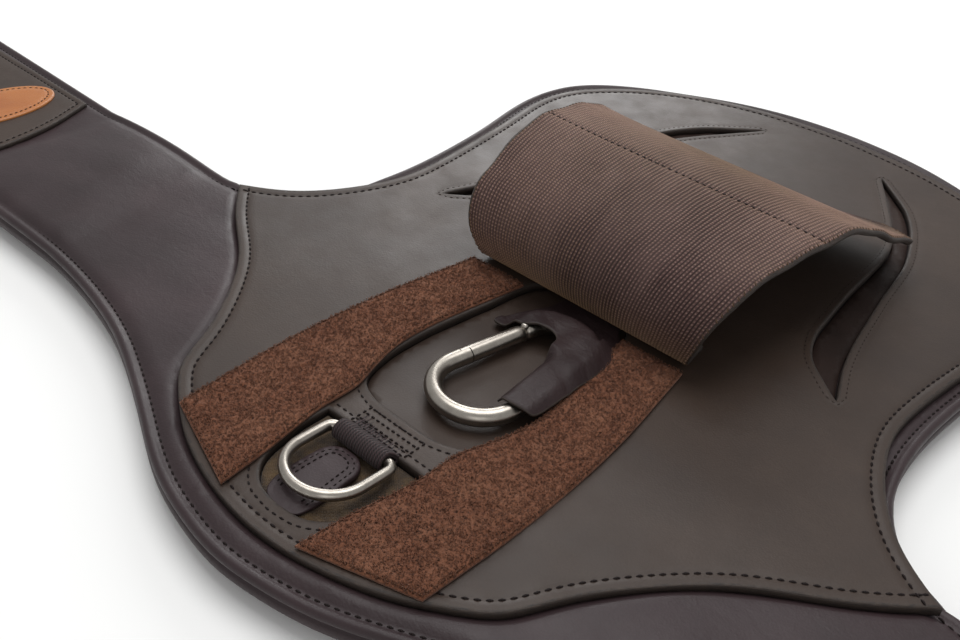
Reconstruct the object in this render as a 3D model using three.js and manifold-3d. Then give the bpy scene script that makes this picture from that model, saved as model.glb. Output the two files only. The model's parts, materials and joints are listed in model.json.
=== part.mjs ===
// A stud-guard girth for a horse: a stiff leather belly plate on a padded leather strap, with a
// recessed D ring and snap hook under a hook-and-loop flap, and roller buckles on elastic ends.
//
// Millimetres, +Z up. The pieces are laid out in a design frame: x along the strap, y from the
// plate's front edge to its round rear end, and z = 0 on top of the plate. The last lines move
// that frame so that the origin is under the middle of the girth's bounding box.
import * as THREE from "three";
import { mergeVertices } from "three/addons/utils/BufferGeometryUtils.js";
import Module from "manifold-3d";

const wasm = await Module();
wasm.setup();

// ---- driving dimensions -----------------------------------------------------------------
const GAP = 0.3; // between pieces that touch
const FRONT_Y = -62; // the girth's front edge
const REAR_Y = 365; // its rear edge
const PLATE_T = 4; // stiff plate
const FLOOR_Z = -3.2; // floor of both recesses
const PILE = [0.3, 2.1]; // loop strips, low and high z
const COVER = [-7.6, -2.8]; // padded cover leather
const FOAM = [-15.1, -7.9]; // foam pad
const LINING = [-17, -15.4]; // lining leather, which rests on the horse

const ARM_Y = [-12, 79]; // front and rear edges of the strap's arms
const ARM_MID = (ARM_Y[0] + ARM_Y[1]) / 2;
const BEND_X = 215; // where an arm starts to bend
const ARM_END_X = 480;
const OVERLAY_X = [271, 468];

const D_WIRE = 4; // D ring
const D_HALF = 15;
const D_LEG = 14;
const D_Z = 1.2;
const WEB_HALF = 12.3; // ribbed webbing that holds the D ring

const HOOK_WIRE = 6.8; // snap hook
const HOOK_AT = [6.5, 51, 1.5];
const HOOK_TILT = 3; // degrees
const HOOK_LENGTH = 39; // between the centres of its two rounds
const HOOK_NOSE_R = 17;
const HOOK_TAIL_R = 11.6;
const PIN_S = 34; // the gate's pin, along the gate side from the front round

const KEEPER_Y = 107.5; // rear edge of the keeper, where it bends
const FLAP_AT = [118.3, 3.3]; // y and z of the flap's fold
const FLAP_T = 3;
// each flap segment: length, slope at rest in degrees from -Y, half width at its start and end
const FLAP = [
  [17, 70, 52, 57],
  [15, 115, 57, 61],
  [30, 163, 61, 66],
  [34, 181, 66, 70.5],
  [38, 200, 70.5, 75],
  [42, 214, 75, 78],
];
const FLAP_CUTS = [0.15, 1.0, 0.2, 0.2, 0.2, 0.2]; // half the gap at each segment's start

const ELASTIC = [-13.5, -9.5]; // low and high z
const ELASTIC_HALF = 38;
const BAR_X = [573, 597]; // buckle bars: hinge bar and roller bar
const BUCKLE_Z = -11.5;
const BUCKLE_HALF = 17.5;
const BUCKLE_Y = 22.5; // buckles either side of the arm's middle
const BUCKLE_WIRE = 4.5;

// ---- materials --------------------------------------------------------------------------
const finish = (color, roughness, metalness = 0) => ({ color, roughness, metalness });
const PLATE_LEATHER = finish(0x41382f, 0.45);
const SOFT_LEATHER = finish(0x4c3f3d, 0.55);
const LINING_LEATHER = finish(0x43383a, 0.6);
const DARK_LEATHER = finish(0x2e2423, 0.5);
const FOAM_GREY = finish(0x6a6a6c, 0.95);
const LOOP_PILE = finish(0x54301f, 0.98);
const HOOK_TAPE = finish(0x5e4440, 0.85);
const CANVAS = finish(0x5d4a31, 0.95);
const WEBBING = finish(0x3d2c2d, 0.8);
const ELASTIC_BROWN = finish(0x3b2d28, 0.85);
const BADGE_TAN = finish(0xc4884f, 0.5);
const STEEL = finish(0xb9b4ab, 0.3, 1);

// ---- helpers ----------------------------------------------------------------------------
function piece(name, geometry, material, position = [0, 0, 0]) {
  const mesh = new THREE.Mesh(geometry, new THREE.MeshStandardMaterial(material));
  mesh.name = name;
  mesh.position.set(...position);
  return mesh;
}

function group(position, ...children) {
  const made = new THREE.Group();
  made.position.set(...position);
  children.forEach((child) => made.add(child));
  return made;
}

/** A smooth line through a few points, as [x, y] pairs. */
function smooth(points, steps) {
  const through = points.map(([x, y]) => new THREE.Vector3(x, y, 0));
  const line = new THREE.CatmullRomCurve3(through, false, "centripetal");
  return line.getPoints(steps).map((p) => [p.x, p.y]);
}

/** A closed outline from its right half, which runs from the front to the rear. */
function mirrored(half) {
  const left = half.filter(([x]) => x > 0.001).reverse();
  return [...half, ...left.map(([x, y]) => [-x, y])];
}

/** An outline moved outwards by a distance; a negative distance moves it inwards. */
function grown(outline, distance) {
  const unit = ([x, y], [u, v]) => {
    const length = Math.hypot(u - x, v - y);
    return [(v - y) / length, (x - u) / length];
  };
  return outline.map((point, i) => {
    const before = unit(outline.at(i - 1), point);
    const after = unit(point, outline[(i + 1) % outline.length]);
    const cosine = before[0] * after[0] + before[1] * after[1];
    const reach = distance / Math.max(1 + cosine, 0.5);
    return [point[0] + (before[0] + after[0]) * reach, point[1] + (before[1] + after[1]) * reach];
  });
}

const vectors = (outline) => outline.map(([x, y]) => new THREE.Vector2(x, y));
const box = (x0, x1, y0, y1) => [[x0, y0], [x1, y0], [x1, y1], [x0, y1]];
const arc = (x, y, radius, from, to, steps) =>
  Array.from({ length: steps + 1 }, (_, i) => {
    const angle = THREE.MathUtils.degToRad(from + ((to - from) * i) / steps);
    return [x + radius * Math.cos(angle), y + radius * Math.sin(angle)];
  });

/** A flat sheet between two heights, with holes. */
function sheet(outline, low, high, holes = []) {
  const shape = new THREE.Shape(vectors(outline));
  shape.holes = holes.map((hole) => new THREE.Path(vectors(hole)));
  const options = { depth: high - low, bevelEnabled: false };
  return new THREE.ExtrudeGeometry(shape, options).translate(0, 0, low);
}

/** A profile in y and z, of the given width along x, centred on x = 0. */
function acrossX(profile, width, holes = []) {
  const turn = new THREE.Matrix4().makeBasis(
    new THREE.Vector3(0, 1, 0), new THREE.Vector3(0, 0, 1), new THREE.Vector3(1, 0, 0));
  return sheet(profile, -width / 2, width / 2, holes).applyMatrix4(turn);
}

/** A profile in x and z, of the given width along y, centred on y = 0. */
function acrossY(profile, width, holes = []) {
  return sheet(profile, -width / 2, width / 2, holes).rotateX(Math.PI / 2);
}

/** A ring of round wire along a closed, flat centreline. */
function wireRing(centreline, wire, segments = 2) {
  const thin = 0.05;
  const shape = new THREE.Shape(vectors(grown(centreline, thin)));
  shape.holes = [new THREE.Path(vectors(grown(centreline, -thin)))];
  const round = {
    depth: 2 * thin,
    bevelThickness: wire / 2 - thin,
    bevelSize: wire / 2 - thin,
    bevelSegments: segments,
  };
  return new THREE.ExtrudeGeometry(shape, round).translate(0, 0, -thin);
}

function solid(geometry) {
  const bare = geometry.clone();
  bare.deleteAttribute("normal");
  bare.deleteAttribute("uv");
  const merged = mergeVertices(bare, 1e-4);
  const triVerts = new Uint32Array(merged.index.array);
  const vertProperties = new Float32Array(merged.attributes.position.array);
  return new wasm.Manifold(new wasm.Mesh({ numProp: 3, vertProperties, triVerts }));
}

function fromSolid(manifold) {
  const mesh = manifold.getMesh();
  const geometry = new THREE.BufferGeometry();
  geometry.setAttribute("position", new THREE.BufferAttribute(mesh.vertProperties, 3));
  geometry.setIndex(new THREE.BufferAttribute(mesh.triVerts, 1));
  geometry.computeVertexNormals();
  return geometry;
}

const cut = (whole, ...tools) =>
  fromSolid(tools.reduce((left, tool) => left.subtract(solid(tool)), solid(whole)));
const join = (whole, ...others) =>
  fromSolid(others.reduce((made, other) => made.add(solid(other)), solid(whole)));

// ---- outlines ---------------------------------------------------------------------------
/** The whole girth's middle, out to the arms' bends. */
function bodyOutline() {
  const end = BEND_X - GAP / 2;
  const front = smooth([[0, FRONT_Y], [38, -55], [76, -38], [113, -23], [151, -15],
    [185, ARM_Y[0]]], 16);
  const rear = smooth([[178, ARM_Y[1]], [157, 88], [144, 101], [136, 120], [133, 150],
    [138, 205], [148, 262], [143, 295], [122, 319], [70, 350], [35, 361.5], [0, REAR_Y]], 34);
  return mirrored([...front, [end, ARM_Y[0]], [end, ARM_Y[1]], ...rear]);
}

/** The stiff plate, with a curved seam where each arm's padded leather meets it. */
function plateOutline() {
  const front = smooth([[0, -48], [20, -46], [49, -37], [79, -18]], 8);
  const seam = smooth([[79, -18], [87, 0], [117, 38], [150, 61], [169, 78]], 12);
  const rear = smooth([[169, 78], [151, 90], [137, 108], [126, 134], [124, 150], [133, 225],
    [138, 258], [134, 287], [98, 327], [50, 347], [0, 353]], 30);
  return mirrored([...front, ...seam.slice(1), ...rear.slice(1)]);
}

/** The front recess, which holds the D ring. */
const smallRecess = () =>
  mirrored([...smooth([[0, -36], [11, -34], [19, -26], [23, -8]], 8), [23, 5], [0, 5]]);

/** The main recess, which holds the snap hook. */
const mainRecess = () =>
  mirrored(smooth([[0, 19.5], [16, 20.5], [26, 26], [31, 46], [27, 92], [21, 122], [0, 128]], 20));

/** A crescent slit in the plate, which lets it flex. */
function crescent(side) {
  const outer = smooth([[101, 143], [92, 168], [83, 218], [77, 258], [60, 298], [34, 325]], 12);
  const inner = smooth([[34, 325], [58, 285], [68, 262], [72, 210], [80, 164], [101, 143]], 12);
  const loop = [...outer, ...inner.slice(1, -1)].map(([x, y]) => [x * side, y]);
  return side > 0 ? loop : loop.reverse();
}

// ---- the padded middle --------------------------------------------------------------------
function bodyPieces() {
  const outline = bodyOutline();
  const plate = plateOutline();
  const pocket = sheet(grown(plate, GAP), -PLATE_T - GAP, 0);
  const cover = cut(sheet(outline, ...COVER), pocket);
  return [
    piece("body_lining", sheet(outline, ...LINING), LINING_LEATHER),
    piece("body_foam", sheet(grown(outline, -3), ...FOAM), FOAM_GREY),
    piece("body_cover", cover, SOFT_LEATHER),
    piece("belly_plate", bellyPlate(plate), PLATE_LEATHER),
    piece("slit_gusset_right", gusset(1), DARK_LEATHER),
    piece("slit_gusset_left", gusset(-1), DARK_LEATHER),
    piece("d_recess_canvas", sheet(grown(smallRecess(), -GAP), -PLATE_T, FLOOR_Z), CANVAS),
    piece("hook_recess_floor", sheet(grown(mainRecess(), -GAP), -PLATE_T, FLOOR_Z), PLATE_LEATHER),
    piece("loop_strip_right", loopStrip(1), LOOP_PILE),
    piece("loop_strip_left", loopStrip(-1), LOOP_PILE),
  ];
}

function bellyPlate(plate) {
  const holes = [smallRecess(), mainRecess(), crescent(1), crescent(-1)];
  const webSlot = sheet(box(-14, 14, 4, 17.6), -PLATE_T - 1, -1.3);
  return cut(sheet(plate, -PLATE_T, 0, holes), webSlot);
}

const gusset = (side) => sheet(grown(crescent(side), -GAP), -PLATE_T, FLOOR_Z);

function loopStrip(side) {
  const outer = smooth([[59, -31], [61.5, 12], [60, 60], [53, 112.5]], 8);
  const inner = smooth([[25, 112.5], [31.5, 66], [31.5, 46], [24.5, 20]], 7);
  const loop = [[18, -44], ...outer, ...inner, [24, 2], [20, -24]];
  return sheet(loop.map(([x, y]) => [x * side, y]), ...PILE);
}

// ---- D ring ------------------------------------------------------------------------------
/** The D ring: a straight bar, two legs and a half circle. */
function dRing() {
  const corner = 3.5;
  const centreline = mirrored([
    [0, -D_LEG - D_HALF],
    ...arc(0, -D_LEG, D_HALF, -78, 0, 8),
    ...arc(D_HALF - corner, -corner, corner, 0, 90, 4),
    [0, 0],
  ]);
  return wireRing(centreline, D_WIRE);
}

/** The webbing that loops round the D ring's bar and runs back under the bridge. */
function dWebbing() {
  const outer = 4;
  const low = D_Z - outer;
  const strap = 1.2;
  const start = (Math.asin((low + strap - D_Z) / outer) * 180) / Math.PI;
  const profile = [[17, low], [17, low + strap], ...arc(0, D_Z, outer, start, 270, 14)];
  const bore = arc(0, D_Z, D_WIRE / 2 + GAP, 0, 330, 11);
  return acrossX(profile, 2 * WEB_HALF, [bore]);
}

function dTab() {
  const front = arc(-1, -22, 9, 180, 360, 10);
  return sheet([...front, [8, -5], [-10, -5]], FLOOR_Z + GAP, -1.1);
}

function dPieces() {
  return [
    piece("d_ring_webbing", dWebbing(), WEBBING),
    piece("d_ring_tab", dTab(), SOFT_LEATHER),
    piece("d_ring", dRing(), STEEL, [0, 0, D_Z]),
  ];
}

// ---- snap hook ---------------------------------------------------------------------------
// The hook is drawn round its nose round's centre, with its length along y. Its left side, which
// the gate closes, leans by this angle because the tail round is the smaller one.
const HOOK_LEAN = Math.asin((HOOK_NOSE_R - HOOK_TAIL_R) / HOOK_LENGTH);
const HOOK_LEAN_DEG = THREE.MathUtils.radToDeg(HOOK_LEAN);
const PIN_AT = [
  -HOOK_NOSE_R * Math.cos(HOOK_LEAN) + PIN_S * Math.sin(HOOK_LEAN),
  HOOK_NOSE_R * Math.sin(HOOK_LEAN) + PIN_S * Math.cos(HOOK_LEAN),
];

/** Moves a shape drawn round the gate's pin to the pin's place on the hook. */
const atPin = (geometry) => geometry.rotateZ(-HOOK_LEAN).translate(PIN_AT[0], PIN_AT[1], 0);

function hookBody() {
  const nose = arc(0, 0, HOOK_NOSE_R, 180 - HOOK_LEAN_DEG, 360 + HOOK_LEAN_DEG, 18);
  const tail = arc(0, HOOK_LENGTH, HOOK_TAIL_R, HOOK_LEAN_DEG, 180 - HOOK_LEAN_DEG, 12);
  const ring = wireRing([...nose, ...tail], HOOK_WIRE);
  const tall = HOOK_WIRE;
  const gateRoom = atPin(sheet(box(-4, 4, 7.4 - PIN_S, -2.6), -tall, tall));
  const noseStep = atPin(sheet(box(0, 4, 4.4 - PIN_S, 8 - PIN_S), -tall, tall));
  const tongueSlot = atPin(sheet(box(-4, 4, -3, 2.9), -1.6, 1.6));
  const pinBore = atPin(new THREE.CylinderGeometry(1.3, 1.3, 2 * tall, 12).rotateX(Math.PI / 2));
  const springBore = atPin(new THREE.CylinderGeometry(1.2, 1.2, 6, 10).translate(0.3, 5.4, 0));
  return cut(ring, gateRoom, noseStep, tongueSlot, pinBore, springBore);
}

/** The gate, drawn with its pin at the origin and its tip towards -y. */
function gate() {
  const radius = HOOK_WIRE / 2 - GAP;
  const tip = 4.8 - PIN_S;
  const shoulder = 29.5 - PIN_S;
  const length = shoulder - tip;
  const bar = new THREE.CylinderGeometry(radius, radius, length, 16);
  bar.translate(0, tip + length / 2, 0);
  const step = sheet(box(-4, 0, tip - 1, tip + 3), -4, 4);
  const tongue = sheet([...arc(0, 0, 2.2, 0, 180, 8), [-2.2, shoulder - 1], [2.2, shoulder - 1]],
    -1.25, 1.25);
  const pinBore = new THREE.CylinderGeometry(1.3, 1.3, 8, 12).rotateX(Math.PI / 2);
  return fromSolid(solid(bar).subtract(solid(step)).add(solid(tongue)).subtract(solid(pinBore)));
}

/** The small spring behind the gate's heel. */
function gateSpring() {
  const turns = 4;
  const radius = 0.65;
  const points = Array.from({ length: turns * 10 + 1 }, (_, i) => {
    const angle = (i / 10) * 2 * Math.PI;
    return new THREE.Vector3(radius * Math.cos(angle), (i / 10) * 0.9, radius * Math.sin(angle));
  });
  const path = new THREE.CatmullRomCurve3(points);
  const wire = new THREE.Shape(vectors(arc(0, 0, 0.2, 0, 288, 4)));
  const options = { steps: turns * 10, extrudePath: path, bevelEnabled: false };
  return new THREE.ExtrudeGeometry(wire, options).translate(0.3, 3.6, 0);
}

function hookPieces() {
  const pin = new THREE.CylinderGeometry(1, 1, HOOK_WIRE - GAP, 12).rotateX(Math.PI / 2);
  const swing = group([PIN_AT[0], PIN_AT[1], 0],
    piece("hook_gate", gate(), STEEL),
    piece("hook_gate_pin", pin, STEEL),
    piece("hook_gate_spring", gateSpring(), STEEL));
  swing.rotation.z = -HOOK_LEAN;
  const hook = group(HOOK_AT, piece("snap_hook", hookBody(), STEEL), swing);
  hook.rotation.z = THREE.MathUtils.degToRad(-HOOK_TILT);
  return [hook, piece("hook_keeper", keeper(), DARK_LEATHER),
    piece("keeper_anchor", keeperAnchor(), DARK_LEATHER)];
}

/** The folded leather that wraps the hook's tail, open to the front where the hook comes out. */
function keeper() {
  const wireTop = HOOK_AT[2] + HOOK_WIRE / 2;
  const wireLow = HOOK_AT[2] - HOOK_WIRE / 2;
  const base = FLOOR_Z + GAP;
  const top = 6.6;
  const behind = 105.3;
  const upper = [[-18, 84], [-14, 82], [-6, 88.5], [11, 89], [13.5, 79], [17, 64], [17.5, 47],
    [22, 45.5], [36, 46], [32, 56], [30.5, 78], [29, 95], [27, KEEPER_Y], [-11, KEEPER_Y],
    [-15, 102], [-17, 94]];
  const lower = [[-16, 86], [14, 86], [18, 66], [25, 66], [23.2, KEEPER_Y], [-11, KEEPER_Y],
    [-15, 98]];
  const wall = box(-11, 23.2, behind, KEEPER_Y);
  const slope = acrossX([[100, top], [KEEPER_Y + 1, 4.7], [KEEPER_Y + 1, 9], [100, 9]], 100);
  const made = solid(sheet(upper, wireTop + GAP, top))
    .add(solid(sheet(lower, base, wireLow - GAP)))
    .add(solid(sheet(wall, base, wireTop + 2 * GAP)))
    .subtract(solid(slope));
  return fromSolid(made);
}

/** The keeper's rear end, stitched down in the recess under the flap's root. */
function keeperAnchor() {
  const start = KEEPER_Y + GAP;
  return sheet([[-10, start], [22.5, start], [20, 121], [15, 125], [-15, 125], [-18, 119]],
    FLOOR_Z + GAP, 0.1);
}

// ---- flap --------------------------------------------------------------------------------
/** One flat segment, drawn shut: it runs towards -y from its fold and hangs below z = 0. */
function flapSegment(index) {
  const [length, , wide, next] = FLAP[index];
  const start = -FLAP_CUTS[index];
  if (index < FLAP.length - 1) {
    const end = -length + FLAP_CUTS[index + 1];
    return sheet([[-wide, start], [-next, end], [next, end], [wide, start]], -FLAP_T, 0);
  }
  const corner = 22;
  const right = arc(next - corner, -length + corner, corner, -90, 0, 6);
  const left = right.map(([x, y]) => [-x, y]).reverse();
  return sheet([[-wide, start], ...left, ...right, [wide, start]], -FLAP_T, 0);
}

/** The flap rolled open, as a chain of segments that each turn about the last one's end. */
function flapPieces() {
  const root = sheet(box(-50, 50, FLAP_AT[0] + 0.2, FLAP_AT[0] + 13), GAP, FLAP_AT[1]);
  const chain = group([0, ...FLAP_AT]);
  let parent = chain;
  let slope = 0;
  FLAP.forEach(([length, rest], index) => {
    const fold = new THREE.Group();
    fold.rotation.x = -THREE.MathUtils.degToRad(rest - slope);
    fold.position.y = index ? -FLAP[index - 1][0] : 0;
    fold.add(piece(`flap_segment_${index + 1}`, flapSegment(index), HOOK_TAPE));
    parent.add(fold);
    parent = fold;
    slope = rest;
  });
  return [piece("flap_root", root, DARK_LEATHER), chain];
}

// ---- arms --------------------------------------------------------------------------------
function armPieces(side) {
  const name = side > 0 ? "right" : "left";
  const start = BEND_X + GAP / 2;
  const strap = (x0, x1, inset = 0) => {
    const [near, far] = side > 0 ? [x0, x1] : [-x1, -x0];
    return box(near, far, ARM_Y[0] + inset, ARM_Y[1] - inset);
  };
  const seam = smooth([[271, -4], [270, 16], [275, 43], [287, 71]], 8);
  const overlay = [...seam, [OVERLAY_X[1], 71], [OVERLAY_X[1], -4]]
    .map(([x, y]) => [x * side, y]);
  const made = [
    piece(`arm_lining_${name}`, sheet(strap(start, ARM_END_X), ...LINING), LINING_LEATHER),
    piece(`arm_foam_${name}`, sheet(strap(start + 2, 430, 3), ...FOAM), FOAM_GREY),
    piece(`arm_cover_${name}`, sheet(strap(start, ARM_END_X), ...COVER), SOFT_LEATHER),
    piece(`arm_overlay_${name}`, sheet(overlay, COVER[1] + GAP, -0.5), PLATE_LEATHER),
  ];
  if (side < 0) {
    const oval = arc(0, 0, 1, 0, 345, 23).map(([x, y]) => [x * 17.5, y * 31.5]);
    made.push(piece("arm_badge", sheet(oval, 0, 1.2), BADGE_TAN, [-310, 33.5, -0.2]));
  }
  return made;
}

// ---- elastic ends --------------------------------------------------------------------------
/** One end, drawn as the right one round the arm's middle line. */
function endPieces(name) {
  const strap = sheet(box(438, 557, -ELASTIC_HALF, ELASTIC_HALF), ...ELASTIC);
  const made = [
    piece(`elastic_${name}`, strap, ELASTIC_BROWN),
    piece(`end_tab_${name}`, endTab(), SOFT_LEATHER),
  ];
  for (const [place, y] of [["front", -BUCKLE_Y], ["rear", BUCKLE_Y]]) {
    const label = `${name}_${place}`;
    made.push(group([0, y, BUCKLE_Z],
      piece(`chape_${label}`, chape(), SOFT_LEATHER),
      piece(`buckle_frame_${label}`, buckleFrame(), STEEL),
      piece(`buckle_roller_${label}`, roller(), STEEL, [BAR_X[1], 0, 0]),
      piece(`buckle_tongue_${label}`, tongue(), STEEL, [BAR_X[0], 0, 0])));
  }
  return made;
}

/** The leather end, folded over the elastic's cut edge. */
function endTab() {
  const [low, high] = ELASTIC;
  const wall = 2;
  const profile = [[532, low - GAP - wall], [561.7, low - GAP - wall], [561.7, high + GAP + wall],
    [532, high + GAP + wall], [532, high + GAP], [557 + GAP, high + GAP], [557 + GAP, low - GAP],
    [532, low - GAP]];
  return acrossY(profile, 2 * ELASTIC_HALF + 4);
}

/** The strap that loops round the buckle's hinge bar, slotted for the tongue. */
function chape() {
  const outer = BUCKLE_WIRE / 2 + GAP + 1.8;
  const half = 2.1;
  const side = THREE.MathUtils.radToDeg(Math.asin(half / outer));
  const profile = [[562, -half], ...arc(BAR_X[0], 0, outer, -180 + side, 180 - side, 18),
    [562, half]];
  const bore = arc(BAR_X[0], 0, BUCKLE_WIRE / 2 + GAP, 0, 330, 11);
  const slot = sheet(box(BAR_X[0] - 5.2, BAR_X[0] + 9, -3.1, 3.1), -9, 9);
  return cut(acrossY(profile, 27, [bore]), slot);
}

function buckleFrame() {
  const corner = 5;
  const [x0, x1] = BAR_X;
  const edge = BUCKLE_HALF - corner;
  const outline = [
    ...arc(x1 - corner, -edge, corner, -90, 0, 4), ...arc(x1 - corner, edge, corner, 0, 90, 4),
    ...arc(x0 + corner, edge, corner, 90, 180, 4), ...arc(x0 + corner, -edge, corner, 180, 270, 4),
  ];
  return wireRing(outline, BUCKLE_WIRE);
}

/** The roller, a sleeve round the frame's outer bar. */
function roller() {
  const inner = BUCKLE_WIRE / 2 + GAP;
  const half = 12;
  const wall = [[inner, -half], [inner + 1.1, -half], [inner + 1.1, half], [inner, half],
    [inner, -half]];
  return new THREE.LatheGeometry(vectors(wall), 16);
}

/** The tongue: an eye round the hinge bar and a bar that rests on the roller. */
function tongue() {
  const outer = BUCKLE_WIRE / 2 + GAP + 1.4;
  const reach = BAR_X[1] - BAR_X[0];
  const rest = BUCKLE_WIRE / 2 + 2 * GAP + 1.1;
  const profile = [...arc(0, 0, outer, 85, 345, 12), [reach - 6, rest - 1.4], [reach - 4, rest],
    [reach + 5, rest], [reach + 5, rest + 1.6], [reach - 4, rest + 3]];
  const bore = arc(0, 0, BUCKLE_WIRE / 2 + GAP, 0, 330, 11);
  return acrossY(profile, 4.4, [bore]);
}

// ---- assembly ----------------------------------------------------------------------------
const right = group([0, ARM_MID, 0], ...endPieces("right"));
const left = group([0, ARM_MID, 0], ...endPieces("left"));
left.rotation.z = Math.PI;

const girth = group([0, -(FRONT_Y + REAR_Y) / 2, -LINING[0]],
  ...bodyPieces(), ...dPieces(), ...hookPieces(), ...flapPieces(),
  ...armPieces(1), ...armPieces(-1), right, left);

export default girth;
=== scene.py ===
"""The looks of a stud-guard girth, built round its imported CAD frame.

Shapes are worked out in the part's own design frame, in millimetres: x along the strap, y from
the plate's front edge to its round rear end, z = 0 on top of the plate. to_row() turns them into
the row frame's metres. Outlines come from the CAD nodes, so both models keep the same sizes.
"""
import json
import math

import bmesh
import bpy
import numpy as np
from mathutils import Matrix, Vector
from mathutils.geometry import delaunay_2d_cdt

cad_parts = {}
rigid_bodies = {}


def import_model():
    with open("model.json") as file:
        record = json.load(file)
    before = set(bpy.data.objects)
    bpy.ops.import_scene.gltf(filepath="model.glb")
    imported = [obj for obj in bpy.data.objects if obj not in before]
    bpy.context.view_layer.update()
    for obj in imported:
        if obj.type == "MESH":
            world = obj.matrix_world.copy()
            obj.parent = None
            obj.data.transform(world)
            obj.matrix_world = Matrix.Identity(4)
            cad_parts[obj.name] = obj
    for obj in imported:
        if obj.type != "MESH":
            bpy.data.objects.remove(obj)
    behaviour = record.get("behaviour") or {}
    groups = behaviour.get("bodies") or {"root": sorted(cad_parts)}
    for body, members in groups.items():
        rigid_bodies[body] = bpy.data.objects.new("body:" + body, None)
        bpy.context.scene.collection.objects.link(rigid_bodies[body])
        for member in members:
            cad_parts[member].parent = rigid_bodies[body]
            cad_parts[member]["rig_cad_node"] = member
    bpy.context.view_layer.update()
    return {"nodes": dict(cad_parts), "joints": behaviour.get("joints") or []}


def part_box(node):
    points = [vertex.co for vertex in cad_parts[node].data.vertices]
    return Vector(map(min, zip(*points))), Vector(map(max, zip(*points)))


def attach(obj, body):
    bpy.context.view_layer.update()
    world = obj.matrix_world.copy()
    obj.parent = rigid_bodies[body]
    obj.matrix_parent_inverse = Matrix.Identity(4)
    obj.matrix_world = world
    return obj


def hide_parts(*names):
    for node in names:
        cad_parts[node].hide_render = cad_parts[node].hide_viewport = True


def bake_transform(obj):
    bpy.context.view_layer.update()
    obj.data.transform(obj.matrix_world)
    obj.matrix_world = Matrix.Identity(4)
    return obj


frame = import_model()
RANDOM = np.random.default_rng(7)

# ---- the design frame ---------------------------------------------------------------------
PLATE_FRONT_Y = -48.0
_plate_low, _plate_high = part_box("belly_plate")
ORIGIN = np.array([0.0, _plate_low.y * 1000 - PLATE_FRONT_Y, _plate_high.z * 1000])


def to_row(points):
    """Design millimetres to row metres."""
    return (np.asarray(points, float) + ORIGIN) / 1000


def node_box(node):
    """A CAD node's lowest and highest corner, in design millimetres."""
    low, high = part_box(node)
    return np.array(low) * 1000 - ORIGIN, np.array(high) * 1000 - ORIGIN


def joint_at(name):
    """A hinge's point, in design millimetres."""
    found = next(j for j in frame["joints"] if j["name"] == name)
    return np.array(found["pos_m"]) * 1000 - ORIGIN


# ---- mesh helpers -------------------------------------------------------------------------
def make(name, verts, faces, materials, body=None, indices=None, slot=None):
    """A smooth mesh object from design millimetres. indices is each face's material."""
    mesh = bpy.data.meshes.new(name)
    mesh.from_pydata(to_row(verts).tolist(), [], [list(map(int, f)) for f in faces])
    materials = materials if isinstance(materials, (list, tuple)) else [materials]
    for material in materials:
        mesh.materials.append(material)
    mesh.polygons.foreach_set("use_smooth", np.ones(len(faces), bool))
    if indices is not None:
        mesh.polygons.foreach_set("material_index", np.asarray(indices, np.int32))
    mesh.update()
    obj = bpy.data.objects.new(name, mesh)
    bpy.context.scene.collection.objects.link(obj)
    if body:
        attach(obj, body)
    return obj


def joined(parts):
    """Several (verts, faces) as one."""
    verts, faces, start = [], [], 0
    for part_verts, part_faces in parts:
        verts.append(part_verts)
        faces.extend([[i + start for i in face] for face in part_faces])
        start += len(part_verts)
    return np.concatenate(verts), faces


def area(loop):
    x, y = loop[:, 0], loop[:, 1]
    return 0.5 * float(np.sum(x * np.roll(y, -1) - y * np.roll(x, -1)))


def cad_loops(node):
    """The outlines of a CAD node's flat top, largest first. Material is on each one's left."""
    mesh = frame["nodes"][node].data
    mesh.calc_loop_triangles()
    co = np.array([v.co for v in mesh.vertices]) * 1000 - ORIGIN
    top = co[:, 2].max()
    key = [tuple(np.round(p[:2], 2)) for p in co]
    edges = set()
    for tri in mesh.loop_triangles:
        corners = list(tri.vertices)
        if all(co[i, 2] > top - 0.02 for i in corners):
            for a, b in zip(corners, corners[1:] + corners[:1]):
                edges.add((key[a], key[b]))
    after = {a: b for a, b in edges if (b, a) not in edges}
    loops = []
    while after:
        first = here = next(iter(sorted(after)))
        loop = []
        while here in after:
            loop.append(here)
            here = after.pop(here)
        if here == first and len(loop) > 2:
            loops.append(np.array(loop, float))
    return sorted(loops, key=lambda lp: -abs(area(lp)))


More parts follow.
